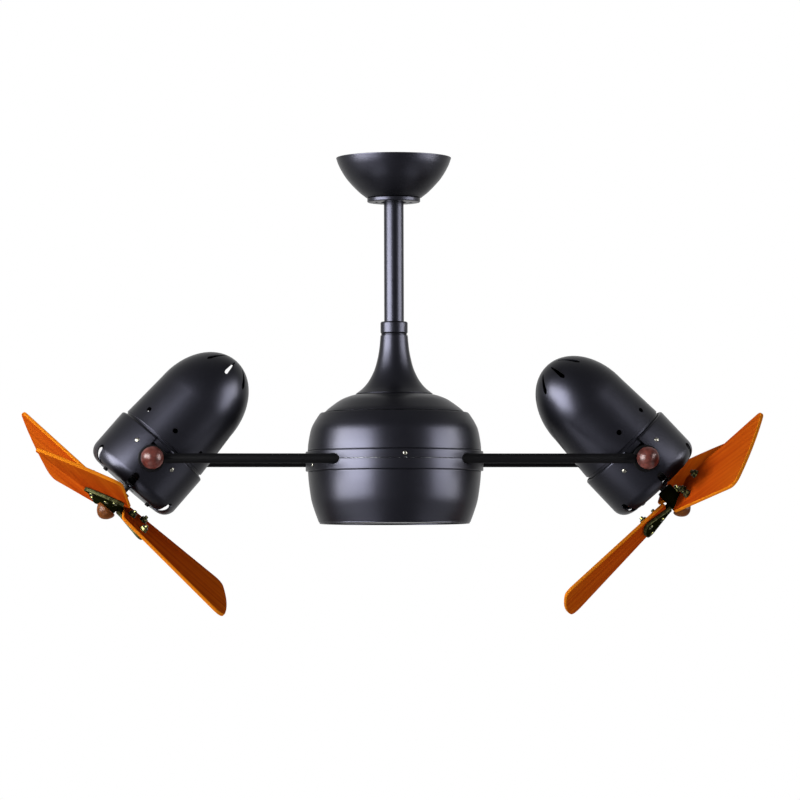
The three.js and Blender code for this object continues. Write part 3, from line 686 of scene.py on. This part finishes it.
plate = smoothed(named_piece("bottom_disc", lathe(eased([
    (0, -475.6), (60, -475.6, 2), (62, -475, 1), (66, -475, 1), (68, -475.6, 2), (95.6, -475.6, 0.4),
    (95.6, -473.4, 0.4), (0, -473.4)]), 128)))
plate.data.materials.append(coat)
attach(plate, "carousel")
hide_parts("bottom_plate")


def tree_with(name, result, inputs):
    """Starts a node tree: a bare signal, and a signal for each of its named inputs."""
    tree = bpy.data.node_groups.new(name, "GeometryNodeTree")
    for label, kind in inputs.items():
        tree.interface.new_socket(label, in_out="INPUT", socket_type="NodeSocket" + kind)
    tree.interface.new_socket(result, in_out="OUTPUT", socket_type="NodeSocketGeometry")
    given = tree.nodes.new("NodeGroupInput").outputs
    return Signal(tree), {label: Signal(tree, given[label]) for label in inputs}


def finished(start, shape, material):
    """Ends a tree with a shape as real mesh in its finish."""
    real = start.node("GeometryNodeRealizeInstances", {}, {"Geometry": shape})
    done = start.node("GeometryNodeSetMaterial", {}, {"Geometry": real, "Material": material})
    start.tree.links.new(done.socket, start.tree.nodes.new("NodeGroupOutput").inputs[0])
    return start.tree


def fastener_tree():
    """Sets one fastener on every point of a mesh, each clocked by its own random turn."""
    start, into = tree_with("set_fasteners", "Fasteners", {
        "Places": "Geometry", "Fastener": "Object", "Size": "Float",
        "Clocking seed": "Int", "Finish": "Material"})
    shape = start.node("GeometryNodeObjectInfo", {}, {"Object": into["Fastener"]}, "Geometry")
    turn = start.node("GeometryNodeInputNamedAttribute", {"data_type": "FLOAT_VECTOR"}, {"Name": "turn"})
    sized = start.node("ShaderNodeCombineXYZ", {}, {axis: into["Size"] for axis in "XYZ"})
    placed = start.node("GeometryNodeInstanceOnPoints", {}, {
        "Points": into["Places"], "Instance": shape, "Rotation": turn, "Scale": sized})
    clocked = start.node("FunctionNodeRandomValue", {"data_type": "FLOAT"}, {
        "Min": 0.0, "Max": 2 * math.pi, "Seed": into["Clocking seed"]}, 1)
    about_itself = start.node("ShaderNodeCombineXYZ", {}, {"Z": clocked})
    placed = start.node("GeometryNodeRotateInstances", {}, {"Instances": placed, "Rotation": about_itself})
    return finished(start, placed, into["Finish"])


def run_tree(piece, tree, values, crease=32):
    """Runs a node tree on a piece with named input values, and keeps its mesh."""
    step = piece.modifiers.new("tree", "NODES")
    step.node_group = tree
    for item in tree.interface.items_tree:
        if item.in_out == "INPUT" and item.name in values:
            step[item.identifier] = values[item.name]
    return settled(piece, crease)


set_fasteners = fastener_tree()


def fasteners(name, places, template, finish, seed, size=1.0):
    """One mesh of a fastener at each place; a place is a matrix whose Z points out of the work."""
    bm = bmesh.new()
    for place in places:
        bm.verts.new(place.to_translation())
    piece = named_piece(name, bm)
    turns = piece.data.attributes.new("turn", "FLOAT_VECTOR", "POINT")
    for i, place in enumerate(places):
        turns.data[i].vector = place.to_euler()
    values = {"Fastener": template, "Size": size, "Clocking seed": seed, "Finish": finish}
    return run_tree(piece, set_fasteners, values)


def outward(point, direction):
    """A place at a point in millimetres, facing a direction."""
    turn = Vector(direction).to_track_quat("Z", "Y").to_matrix().to_4x4()
    return Matrix.Translation(Vector(point) * MM) @ turn


def on_wall(r, angle, z):
    """A place on a round wall, at an angle in degrees and a height, facing out."""
    c, s = math.cos(math.radians(angle)), math.sin(math.radians(angle))
    return outward((r * c, r * s, z), (c, s, 0))


def cross_screw(name, r, height, sink=1.0):
    """Pan head screw with a cross recess, its washer face at the origin and its shank below."""
    dome = [(r, 0), (r, height * 0.25)]
    dome += [(r * math.cos(a), height * (0.25 + 0.75 * math.sin(a))) for a in (0.35, 0.7, 1.0, 1.3)]
    screw = named_piece(name, lathe([(0, -sink), (r * 0.5, -sink), (r * 0.5, 0), *dome, (0, height)], 20))
    arm, deep = r * 0.55, height * 0.45
    tools = [box_between((-a, -b, deep), (a, b, height + 1)) for a, b in ((arm, r * 0.1), (r * 0.1, arm))]
    return cut(screw, *tools)


screw_steel = finish_of("dark_nickel_screws", {"Metallic": 1}, filmed(
    (900, 3), (0, 1), (0.035, 0.034, 0.03), (0.09, 0.087, 0.075), (0.22, 0.2)))
band_screw = cross_screw("band_screw", 2.6, 1.4)
BAND_SCREWS = ((-389.5, -88.8), (-402.3, -161.7))  # height of a row of three, and its first angle
ARM_CLEAR = 12
places = []
for z, first in BAND_SCREWS:
    for angle in (first, first + 120, first + 240):
        if abs(abs(math.sin(math.radians(angle)) * BAND_R) - ARM_Y) >= ARM_CLEAR:
            places.append(on_wall(BAND_R, angle, z))
band_screws = fasteners("band_screws", places, band_screw, screw_steel, 3)
bpy.data.objects.remove(band_screw)
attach(band_screws, "carousel")

# ---- arms ----
# Two half inch steel rods right across the carousel. Each end is a forged flat eye that
# the pivot stud of a head passes through. The coat is duller than the covers'.

PIVOT_X = 318.4
EYE_R = 17.5
EYE_T = 6
EYE_HOLE = 4.2

dull = finish_of("dull_black_coat", {"Specular IOR Level": 0.02}, two_toned(
    (800, 2), (22, 3), (0.002, 0.002, 0.0026), (0.005, 0.005, 0.006), (0.42, 0.12), (0.18, 0.0002)))

for name, y in (("front", -ARM_Y), ("rear", ARM_Y)):
    end = PIVOT_X - EYE_R + 5
    arm = named_piece(f"{name}_arm_rod", rod_between((-end, y, ARM_Z), (end, y, ARM_Z), ARM_R, edge=3))
    half = EYE_T / 2
    ends = (-PIVOT_X, PIVOT_X)
    eyes = [rod_between((x, y - half, ARM_Z), (x, y + half, ARM_Z), EYE_R, 64, 0.9) for x in ends]
    cut(arm, *eyes, operation="UNION")
    cut(arm, *[rod_between((x, y - 9, ARM_Z), (x, y + 9, ARM_Z), EYE_HOLE) for x in ends])
    arm.data.materials.append(dull)
    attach(arm, "carousel")
    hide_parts(f"{name}_rod")

# ---- heads: cup, dome and motor ----
# Each head is a drawn cup with vents and a pivot notch at either side, closed by a spun
# dome whose crown has eight drop shaped slots. A cast frame inside carries motor and pivots.

# Each head: side of the fan, outward tilt, and angle of its first blade.
HEADS = {"left": (-1, 41.0, 13.1), "right": (1, 43.6, 181.1)}
CUP_R = 66.9
CUP_RIM = 25.6
CUP_BOTTOM = -44.5
CUP_MOUTH = 63.4
CUP_HOLE = 12.5
CORNER = 17
NOTCH_HALF = 13
NOTCH_Z = -9.9
VENTS = 6
DROPS = 8
DOME_HOLES = 8
DOME_HOLE_R = 3.5
DOME_HOLE_Z = 47
WALL_SCREW_Z = 6.5
WALL_SCREW_ANGLES = (-116, -64, 116, 64)
FLOOR_BOLT_CIRCLE = 41
BOSS_R = 9.5
STUD_R = 3.8
STUD_END = 100


def swept(r, z, radius, first, last, steps):
    """Points of an arc of a profile, angles in degrees from the outward direction."""
    angles = [math.radians(first + (last - first) * k / steps) for k in range(steps + 1)]
    return [(r + radius * math.cos(a), z + radius * math.sin(a)) for a in angles]


def cup_shell():
    """Drawn cup with an open top, a round floor corner and a hole for the shaft."""
    centre = CUP_R - CORNER
    corner_z = CUP_BOTTOM + CORNER
    outside = [(CUP_HOLE, CUP_BOTTOM), *swept(centre, corner_z, CORNER, -90, 0, 12),
               *swept(CUP_R - 3, CUP_RIM - 3, 3, 0, 90, 6)]
    mouth = [(CUP_MOUTH, CUP_RIM), (CUP_MOUTH, CUP_RIM - SHEET), (CUP_R - SHEET, CUP_RIM - 3)]
    inside = [*swept(centre, corner_z, CORNER - SHEET, 0, -90, 12), (CUP_HOLE, CUP_BOTTOM + SHEET)]
    return lathe([*outside, *mouth, *inside], 128)


def notch_tool(side):
    """Rounded block that cuts the open notch over a pivot."""
    top, inner_y, outer_y = CUP_RIM + 2, 50, 74
    foot = [(-NOTCH_HALF, NOTCH_Z, 3), (NOTCH_HALF, NOTCH_Z, 3)]
    bm = board(eased([*foot, (NOTCH_HALF, top), (-NOTCH_HALF, top)]), inner_y, outer_y)
    bm.transform(Matrix.Rotation(math.radians(90), 4, "X"))
    if side > 0:
        bm.transform(Matrix.Rotation(math.pi, 4, "Z"))
    return bm


def vent_tool():
    """Slot that runs down the cup's wall and round its corner, along +X."""
    top, inner_r, half = -25.5, 50, 5
    run = eased([(-half, CUP_BOTTOM - 2), (half, CUP_BOTTOM - 2), (half, top, 4.8), (-half, top, 4.8)], 8)
    wall = board(run, inner_r, CUP_R + 5)
    wall.transform(Matrix.Rotation(math.radians(90), 4, "Z") @ Matrix.Rotation(math.radians(90), 4, "X"))
    return wall, rod_between((inner_r, 0, CUP_BOTTOM - 2), (inner_r, 0, CUP_BOTTOM + 6), half, 32)


def drop_tool():
    """Drop shaped slot of the crown, pointed towards the middle."""
    shape = [(19, -0.9, 0.6), (39.8, -3, 3), (42.8, -1.4, 2), (42.8, 1.4, 2), (39.8, 3, 3), (19, 0.9, 0.6)]
    below_crown, over_crown = 120, 173
    return board(eased(shape, 4), below_crown, over_crown)


def piercing_tree():
    """Cuts one tool out of a shell a number of times round the Z axis."""
    start, into = tree_with("pierce_round", "Pierced shell", {
        "Shell": "Geometry", "Tool": "Object", "Count": "Int",
        "First angle": "Float", "Finish": "Material"})
    tool = start.node("GeometryNodeObjectInfo", {}, {"Object": into["Tool"]}, "Geometry")
    points = start.node("GeometryNodePoints", {}, {"Count": into["Count"]})
    index = start.node("GeometryNodeInputIndex", {}, {})
    angle = into["First angle"] + index * (2 * math.pi) / into["Count"]
    turn = start.node("ShaderNodeCombineXYZ", {}, {"Z": angle})
    tools = start.node("GeometryNodeInstanceOnPoints", {}, {
        "Points": points, "Instance": tool, "Rotation": turn})
    tools = start.node("GeometryNodeRealizeInstances", {}, {"Geometry": tools})
    holed = start.node("GeometryNodeMeshBoolean", {"operation": "DIFFERENCE", "solver": "EXACT"}, {
        "Mesh 1": into["Shell"], "Mesh 2": tools})
    return finished(start, holed, into["Finish"])


pierce_round = piercing_tree()


def pierced(shell, tool, count, first, finish):
    """Cuts a tool out of a shell a number of times, the first at an angle in degrees."""
    tool = named_piece("tool", tool)
    values = {"Tool": tool, "Count": count, "First angle": math.radians(first), "Finish": finish}
    run_tree(shell, pierce_round, values)
    bpy.data.objects.remove(tool)
    return shell


def dome_shell():
    """Spun dome whose foot stands in the cup, with a groove over the cup's rim."""
    foot_r, foot_z = 63.36, 18
    groove_r = 61.2
    crown_r, crown_z, crown_height = 58.8, 93, 78
    turns = [math.pi / 2 * k / 24 for k in range(24)]
    outer = [(foot_r, foot_z), (foot_r, 24), (groove_r, 24.6), (groove_r, 28.8),
             (62.3, 28.9), (62.64, 29.5), (62.56, 31)]
    outer += [(crown_r * math.cos(a), crown_z + crown_height * math.sin(a)) for a in turns]
    outer += [(0, crown_z + crown_height)]
    inner_r, inner_height = crown_r - SHEET, crown_height - SHEET
    inner = [(0, crown_z + inner_height)]
    inner += [(inner_r * math.cos(a), crown_z + inner_height * math.sin(a)) for a in reversed(turns)]
    inner += [(groove_r - SHEET, 30), (groove_r - SHEET, foot_z)]
    return lathe([*outer, *inner], 128)


def frame_casting():
    """Cast basket with a boss and a plain stud at either side."""
    basket = lathe(eased([
        (11.3, -39), (15, -39, 0.8), (15, -31.5, 1.5), (50.5, -31.5, 3), (50.5, -12, 1), (60.5, -12, 1),
        (60.5, 12, 1), (50.5, 12, 1), (50.5, 36, 0.6), (47.5, 36), (47.5, -28), (11.3, -28)]), 64)
    casting = named_piece("casting", basket)
    bosses = [rod_between((0, s * 55, 0), (0, s * 74.1, 0), BOSS_R, 48, 0.8) for s in (-1, 1)]
    studs = [rod_between((0, s * 70, 0), (0, s * STUD_END, 0), STUD_R, 32, 0.4) for s in (-1, 1)]
    return cut(casting, *bosses, *studs, operation="UNION")


head_screw = cross_screw("head_screw", 3.0, 1.5)
bolt_line = [(0, -1), (1.6, -1), (1.6, 0), (3, 0, 0.2), (3, 1.9, 0.7), (1.4, 2.1), (1.4, 1.2), (0, 1.2)]
floor_bolt = smoothed(named_piece("floor_bolt", lathe(eased(bolt_line), 20)))


def head_frame(side, tilt):
    """Where a head stands: its pivot and its outward tilt."""
    pivot = Matrix.Translation((side * PIVOT_X * MM, 0, ARM_Z * MM))
    return pivot @ Matrix.Rotation(math.radians(-side * tilt), 4, "Y")


for head, (side_of, tilt, first_blade) in HEADS.items():
    stand = head_frame(side_of, tilt)
    body = f"{head}_head"

    cup = named_piece(f"{head}_cup_shell", cup_shell())
    cut(cup, notch_tool(-1), notch_tool(1))
    for tool in vent_tool():
        pierced(cup, tool, VENTS, 30, coat)
    dome = named_piece(f"{head}_dome_shell", dome_shell())
    pierced(dome, drop_tool(), DROPS, 0, coat)
    side_hole = rod_between((50, 0, DOME_HOLE_Z), (68, 0, DOME_HOLE_Z), DOME_HOLE_R, 24)
    pierced(dome, side_hole, DOME_HOLES, 0, coat)
    casting = frame_casting()
    casting.name = f"{head}_motor_casting"
    casting.data.materials.append(near_black)

    places = [on_wall(CUP_R - 0.1, angle, WALL_SCREW_Z) for angle in WALL_SCREW_ANGLES]
    wall_screws = fasteners(f"{head}_wall_screws", places, head_screw, screw_steel, 11 + side_of)
    circle = [math.radians(angle) for angle in range(-150, 180, 60)]
    spots = [(FLOOR_BOLT_CIRCLE * math.cos(a), FLOOR_BOLT_CIRCLE * math.sin(a)) for a in circle]
    places = [outward((x, y, CUP_BOTTOM + 0.05), (0, 0, -1)) for x, y in spots]
    bolts = fasteners(f"{head}_floor_bolts", places, floor_bolt, dull, 5)

    for piece, node, slot in ((cup, "head_cup", "satin_black"), (dome, "head_dome", "satin_black"),
                              (casting, "motor_frame", "cast_alloy"), (wall_screws, None, "steel"),
                              (bolts, None, "steel")):
        piece.data.transform(stand)
        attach(piece, body)
        if node:
            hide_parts(f"{head}_{node}")
    for node, material in (("rear_bell", near_black), ("stator", winding), ("front_bearing", near_black),
                           ("rear_bearing", near_black), ("motor_shaft", near_black)):
        dress(f"{head}_{node}", material)
for template in (head_screw, floor_bolt):
    bpy.data.objects.remove(template)

# ---- pivot knobs ----
# Turned and polished wood balls that screw on the pivot studs and clamp the arms' eyes.

KNOB_R = 14.5
KNOB_Y = 94.6
KNOB_FLAT = 80.7
KNOB_BORE = 4.1
KNOB_BORE_END = 100.3


def knob_turning():
    """Ball about Z with a flat below and a blind bore up from it."""
    first = math.degrees(math.acos((KNOB_Y - KNOB_FLAT) / KNOB_R)) - 90
    line = swept(0, KNOB_Y, KNOB_R, first, 90, 20)
    line[-1] = (0, line[-1][1])
    return lathe([(KNOB_BORE, KNOB_FLAT), *line, (0, KNOB_BORE_END), (KNOB_BORE, KNOB_BORE_END)], 64)


def keep_grain(piece, offset):
    """Stores where each point lay in the wood before the piece was set in place."""
    grain = piece.data.attributes.new("grain", "FLOAT_VECTOR", "POINT")
    for vertex, value in zip(piece.data.vertices, grain.data):
        value.vector = vertex.co + Vector(offset)


def toned(figure, dark, middle, light):
    """Three tones of a wood, spread over its figure."""
    stops = [(0.3, dark), (0.5, middle), (0.72, light)]
    return figure.node("ShaderNodeValToRGB", {"stops": stops}, {"Fac": figure})


def polished_wood(dark, middle, light, scale):
    """A varnished wood with a mottled figure and growth lines."""

    def vary(start):
        place = stored(start, "grain", "Vector")
        long = scaled(place, (1, 1, 0.35))
        figure = noise_at(long, scale, 3, 0.5)
        mottle = noise_at(place, scale * 2.6, 3)
        lines = noise_at(scaled(place, (9, 9, 0.6)), scale * 1.4, 2)
        colour = toned(figure, dark, middle, light)
        colour = mixed(stepped(mottle, 0.45, 0.7) * 0.55, colour, dark)
        colour = mixed(stepped(lines, 0.55, 0.68) * 0.4, colour, dark)
        bump = bump_of(lines, 0.05, 0.0002)
        return {"Base Color": colour, "Roughness": 0.24 + 0.12 * mottle, "Normal": bump}

    return vary


knob_wood = finish_of("polished_red_brown_wood", {"Specular IOR Level": 0.07},
                      polished_wood((0.06, 0.014, 0.011), (0.17, 0.042, 0.032), (0.28, 0.085, 0.068), 90))

for head, (side_of, tilt, first_blade) in HEADS.items():
    for name, s in (("front", 1), ("rear", -1)):
        knob = smoothed(named_piece(f"{head}_{name}_wood_ball", knob_turning()))
        keep_grain(knob, (0.3 * side_of, 0.2 * s, 0))
        knob.data.materials.append(knob_wood)
        knob.data.transform(head_frame(side_of, tilt) @ Matrix.Rotation(math.radians(90 * s), 4, "X"))
        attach(knob, f"{head}_{name}_knob")
        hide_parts(f"{head}_{name}_knob")

# ---- rotors ----
# Bronze hub on the motor shaft with three bronze blade irons, each held under a stained
# wood blade by three screws and nuts, and a turned wood nose over the hub's end.

BLADE_Z = -71.2
BLADE_T = 4.5
BLADE_ROOT = 17
TONE_REACH = 110
IRON_T = 5
IRON_GAP = 0.3
NUT_GAP = 0.1
PITCH = 17.1
HUB_R = 10.5
HUB_TOP = -52
HUB_FOOT = -82
HUB_BORE = 5.3
HUB_BORE_END = -70.3
IRON_SCREWS = ((30, 0), (50, 17), (50, -17))


def bronze_detail(start):
    place = place_on(start)
    patch = noise_at(place, 110, 4, 0.6)
    worn = stepped(stored(start, "worn"), 0, 1)
    rubbed_and_glint = worn * stepped(noise_at(place, 160, 3), 0.25, 0.6)
    colour = mixed(patch, (0.003, 0.0034, 0.0008), (0.011, 0.012, 0.003))
    # The rubbed rims are partly wear and partly painted highlight: their pale brass stands in for glints
    # along the edges.
    colour = mixed(rubbed_and_glint, colour, (0.075, 0.08, 0.034))
    bump = bump_of(patch, 0.3, 0.0003)
    rough = 0.42 + 0.2 * patch
    return {"Base Color": colour, "Metallic": 0.06 * rubbed_and_glint, "Roughness": rough, "Normal": bump}


bronze = finish_of("antique_bronze", {"Specular IOR Level": 0.0}, bronze_detail)
# Brass for the iron screws and nuts: a dark tarnish with bright bare patches, which are partly real wear and
# partly painted glints.
brass = finish_of("tarnished_brass", {"Metallic": 0.9}, filmed(
    (330, 3), (0.5, 0.64), (0.007, 0.0075, 0.0015), (0.1, 0.095, 0.03), (0.28, 0.2)))


def blade_detail(start):
    place = stored(start, "grain", "Vector")
    edge = stored(start, "edge")
    along = scaled(place, (6, 110, 110))
    fine = scaled(place, (9, 200, 200))
    figure = noise_at(along, 1, 2, 0.5)
    pores = stepped(noise_at(fine, 1, 1), 0.5, 0.8)
    cloud = noise_at(place, 16, 2)
    reach = stored(start, "reach")
    near_hub = toned(figure, (0.4, 0.036, 0.003), (0.5, 0.05, 0.004), (0.56, 0.075, 0.005))
    near_tip = toned(figure, (0.42, 0.065, 0.004), (0.52, 0.09, 0.005), (0.6, 0.125, 0.007))
    colour = mixed(reach, near_hub, near_tip)
    colour = mixed(stepped(cloud, 0.35, 0.7) * 0.3, colour, (0.46, 0.06, 0.004))
    colour = mixed(pores * 0.2, colour, (0.22, 0.035, 0.003))
    # Painted highlight: the rims between the two faces are painted a bright orange, lighter than the faces,
    # as if light caught the edges.
    colour = mixed(edge * 0.85, colour, (0.84, 0.25, 0.012))
    bump = bump_of(figure, 0.06, 0.0002)
    return {"Base Color": colour, "Roughness": 0.34 + 0.12 * figure, "Normal": bump}


blade_wood = finish_of("stained_blade_wood", {"Specular IOR Level": 0.0}, blade_detail)
nose_wood = finish_of("polished_brown_wood", {"Specular IOR Level": 0.03},
                      polished_wood((0.12, 0.034, 0.006), (0.22, 0.068, 0.013), (0.3, 0.105, 0.024), 40))


def bowed(a, b, c, steps=10):
    """Points of a curve from a to c that bends towards b; a itself is left to the line before it."""
    line = []
    for k in range(1, steps + 1):
        t = k / steps
        line.append(tuple((1 - t) ** 2 * a[i] + 2 * t * (1 - t) * b[i] + t * t * c[i] for i in (0, 1)))
    return line


def rounded_rim(bm, bottom, top, width, segments, mark):
    """Rounds the upper and lower rims of a board, and marks what lies between its two faces."""
    rims = []
    for edge in bm.edges:
        level = abs(edge.verts[0].co.z - edge.verts[1].co.z) < 1e-7
        rises = [abs(face.normal.z) for face in edge.link_faces]
        if level and len(rises) == 2 and max(rises) > 0.9 and min(rises) < 0.1:
            rims.append(edge)
    bmesh.ops.bevel(bm, geom=rims, offset=width * MM, segments=segments, affect="EDGES", profile=0.5)
    layer = bm.verts.layers.float.new(mark)
    for vertex in bm.verts:
        on_face = min(abs(vertex.co.z - bottom * MM), abs(vertex.co.z - top * MM)) < 1e-6
        vertex[layer] = 0.0 if on_face else 1.0
    return bm


def blade_board():
    """Flat board of a blade, from its root at the hub to its rounded tip."""
    line = [(BLADE_ROOT, 24), *bowed((BLADE_ROOT, 24), (BLADE_ROOT, 28.5), (22, 29.2), 5), (180.5, 52.2)]
    line += bowed((180.5, 52.2), (193.5, 54), (196.4, 42), 8)
    line += bowed((196.4, 42), (205.5, -9), (196.5, -56), 16)
    line += bowed((196.5, -56), (193.2, -71), (178, -68.2), 8)
    line += [(21, -30.6), *bowed((21, -30.6), (BLADE_ROOT, -29.6), (BLADE_ROOT, -26), 5)]
    half = BLADE_T / 2
    bm = rounded_rim(board(line, -half, half), -half, half, 1.1, 3, "edge")
    reach = bm.verts.layers.float.new("reach")
    for vertex in bm.verts:
        vertex[reach] = min(max((vertex.co.x / MM - BLADE_ROOT) / TONE_REACH, 0), 1)
    return bm


def iron_palm():
    """Palm of a blade iron, that widens from the hub to a bowed end."""
    line = [(11.4, -6), (18, -7.5), (46, -27), *bowed((46, -27), (53, -30.5), (57, -23))]
    line += bowed((57, -23), (62.5, 0), (57, 23))
    line += [*bowed((57, 23), (53, 30.5), (46, 27)), (18, 7.5), (11.4, 6)]
    top = -BLADE_T / 2 - IRON_GAP
    return rounded_rim(board(line, top - IRON_T, top), top - IRON_T, top, 1.2, 3, "worn")


def hub_turning():
    """Hub with a blind bore for the motor shaft."""
    outside = [(0, HUB_FOOT), (HUB_R, HUB_FOOT, 1), (HUB_R, HUB_TOP, 1)]
    bore = [(HUB_BORE, HUB_TOP), (HUB_BORE, HUB_BORE_END), (0, HUB_BORE_END)]
    return lathe(eased([*outside, *bore]), 48)


def third_turn(k):
    """Turn from the first blade to blade k, of three."""
    return Matrix.Rotation(math.radians(-120 * k), 4, "Z")


iron_screw = cross_screw("iron_screw", 3.4, 1.8, sink=6)
nut_line = [(0, 0), (6, 0, 0.2), (6, 1.1, 0.3), (5.1, 1.2),
            (5.1, 5.2, 0.6), (2.6, 5.3), (2.6, 4.4), (0, 4.4)]
iron_nut = named_piece("iron_nut", lathe(eased(nut_line, 2), 6))
cut(iron_nut, lathe(eased([(0, 1), (2.4, 1), (2.4, 8.6, 0.6), (0, 8.6)]), 16), operation="UNION")

for head, (side_of, tilt, first_blade) in HEADS.items():
    spin = head_frame(side_of, tilt) @ Matrix.Rotation(math.radians(first_blade), 4, "Z")
    body = f"{head}_rotor"
    hub = named_piece(f"{head}_bronze_hub", hub_turning())
    flat = Matrix.Translation((0, 0, BLADE_Z * MM)) @ Matrix.Rotation(math.radians(PITCH), 4, "X")
    lugs = []
    for k in range(3):
        lug = board(eased([(6, -6.5), (16.2, -6.5, 1.5), (16.2, 6.5, 1.5), (6, 6.5)]), -BLADE_T / 2, 2)
        lug.transform(third_turn(k) @ flat)
        lugs.append(lug)
    cut(hub, *lugs, operation="UNION")
    broken_edges(hub, 0.4)
    hub.data.materials.append(bronze)
    hub.data.transform(spin)
    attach(hub, body)
    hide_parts(f"{head}_hub")

    acorn = flowing([(0, -98), (4.6, -96.7), (9.6, -92.6), (12.7, -87.2), (13, -83.5)], 20)
    acorn[0] = (0, -98)
    nose = named_piece(f"{head}_wood_nose", lathe(eased([*acorn, (11.8, -82.3, 0.4), (0, -82.3)]), 64))
    smoothed(nose, 50)
    keep_grain(nose, (0.4 * side_of, 0, 0))
    nose.data.materials.append(nose_wood)
    nose.data.transform(spin)
    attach(nose, body)
    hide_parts(f"{head}_nose")

    places_below, places_above = [], []
    for k in range(3):
        turned_flat = spin @ third_turn(k) @ flat
        blade = smoothed(named_piece(f"{head}_wood_blade_{k + 1}", blade_board()))
        keep_grain(blade, (0.5 * k + 2 * side_of, 0.3 * k, 0))
        blade.data.materials.append(blade_wood)
        blade.data.transform(turned_flat)
        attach(blade, body)
        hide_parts(f"{head}_blade_{k + 1}")
        iron = smoothed(named_piece(f"{head}_bronze_iron_{k + 1}", iron_palm()))
        iron.data.materials.append(bronze)
        iron.data.transform(turned_flat)
        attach(iron, body)
        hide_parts(f"{head}_blade_iron_{k + 1}")
        for x, y in IRON_SCREWS:
            below = Matrix.Translation((x * MM, y * MM, (-BLADE_T / 2 - IRON_GAP - IRON_T) * MM))
            above = Matrix.Translation((x * MM, y * MM, (BLADE_T / 2 + NUT_GAP) * MM))
            places_below.append(turned_flat @ below @ Matrix.Rotation(math.pi, 4, "X"))
            places_above.append(turned_flat @ above)
    screws = fasteners(f"{head}_iron_screws", places_below, iron_screw, brass, 21)
    nuts = fasteners(f"{head}_iron_nuts", places_above, iron_nut, brass, 31)
    for piece in (screws, nuts):
        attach(piece, body)
for template in (iron_screw, iron_nut):
    bpy.data.objects.remove(template)
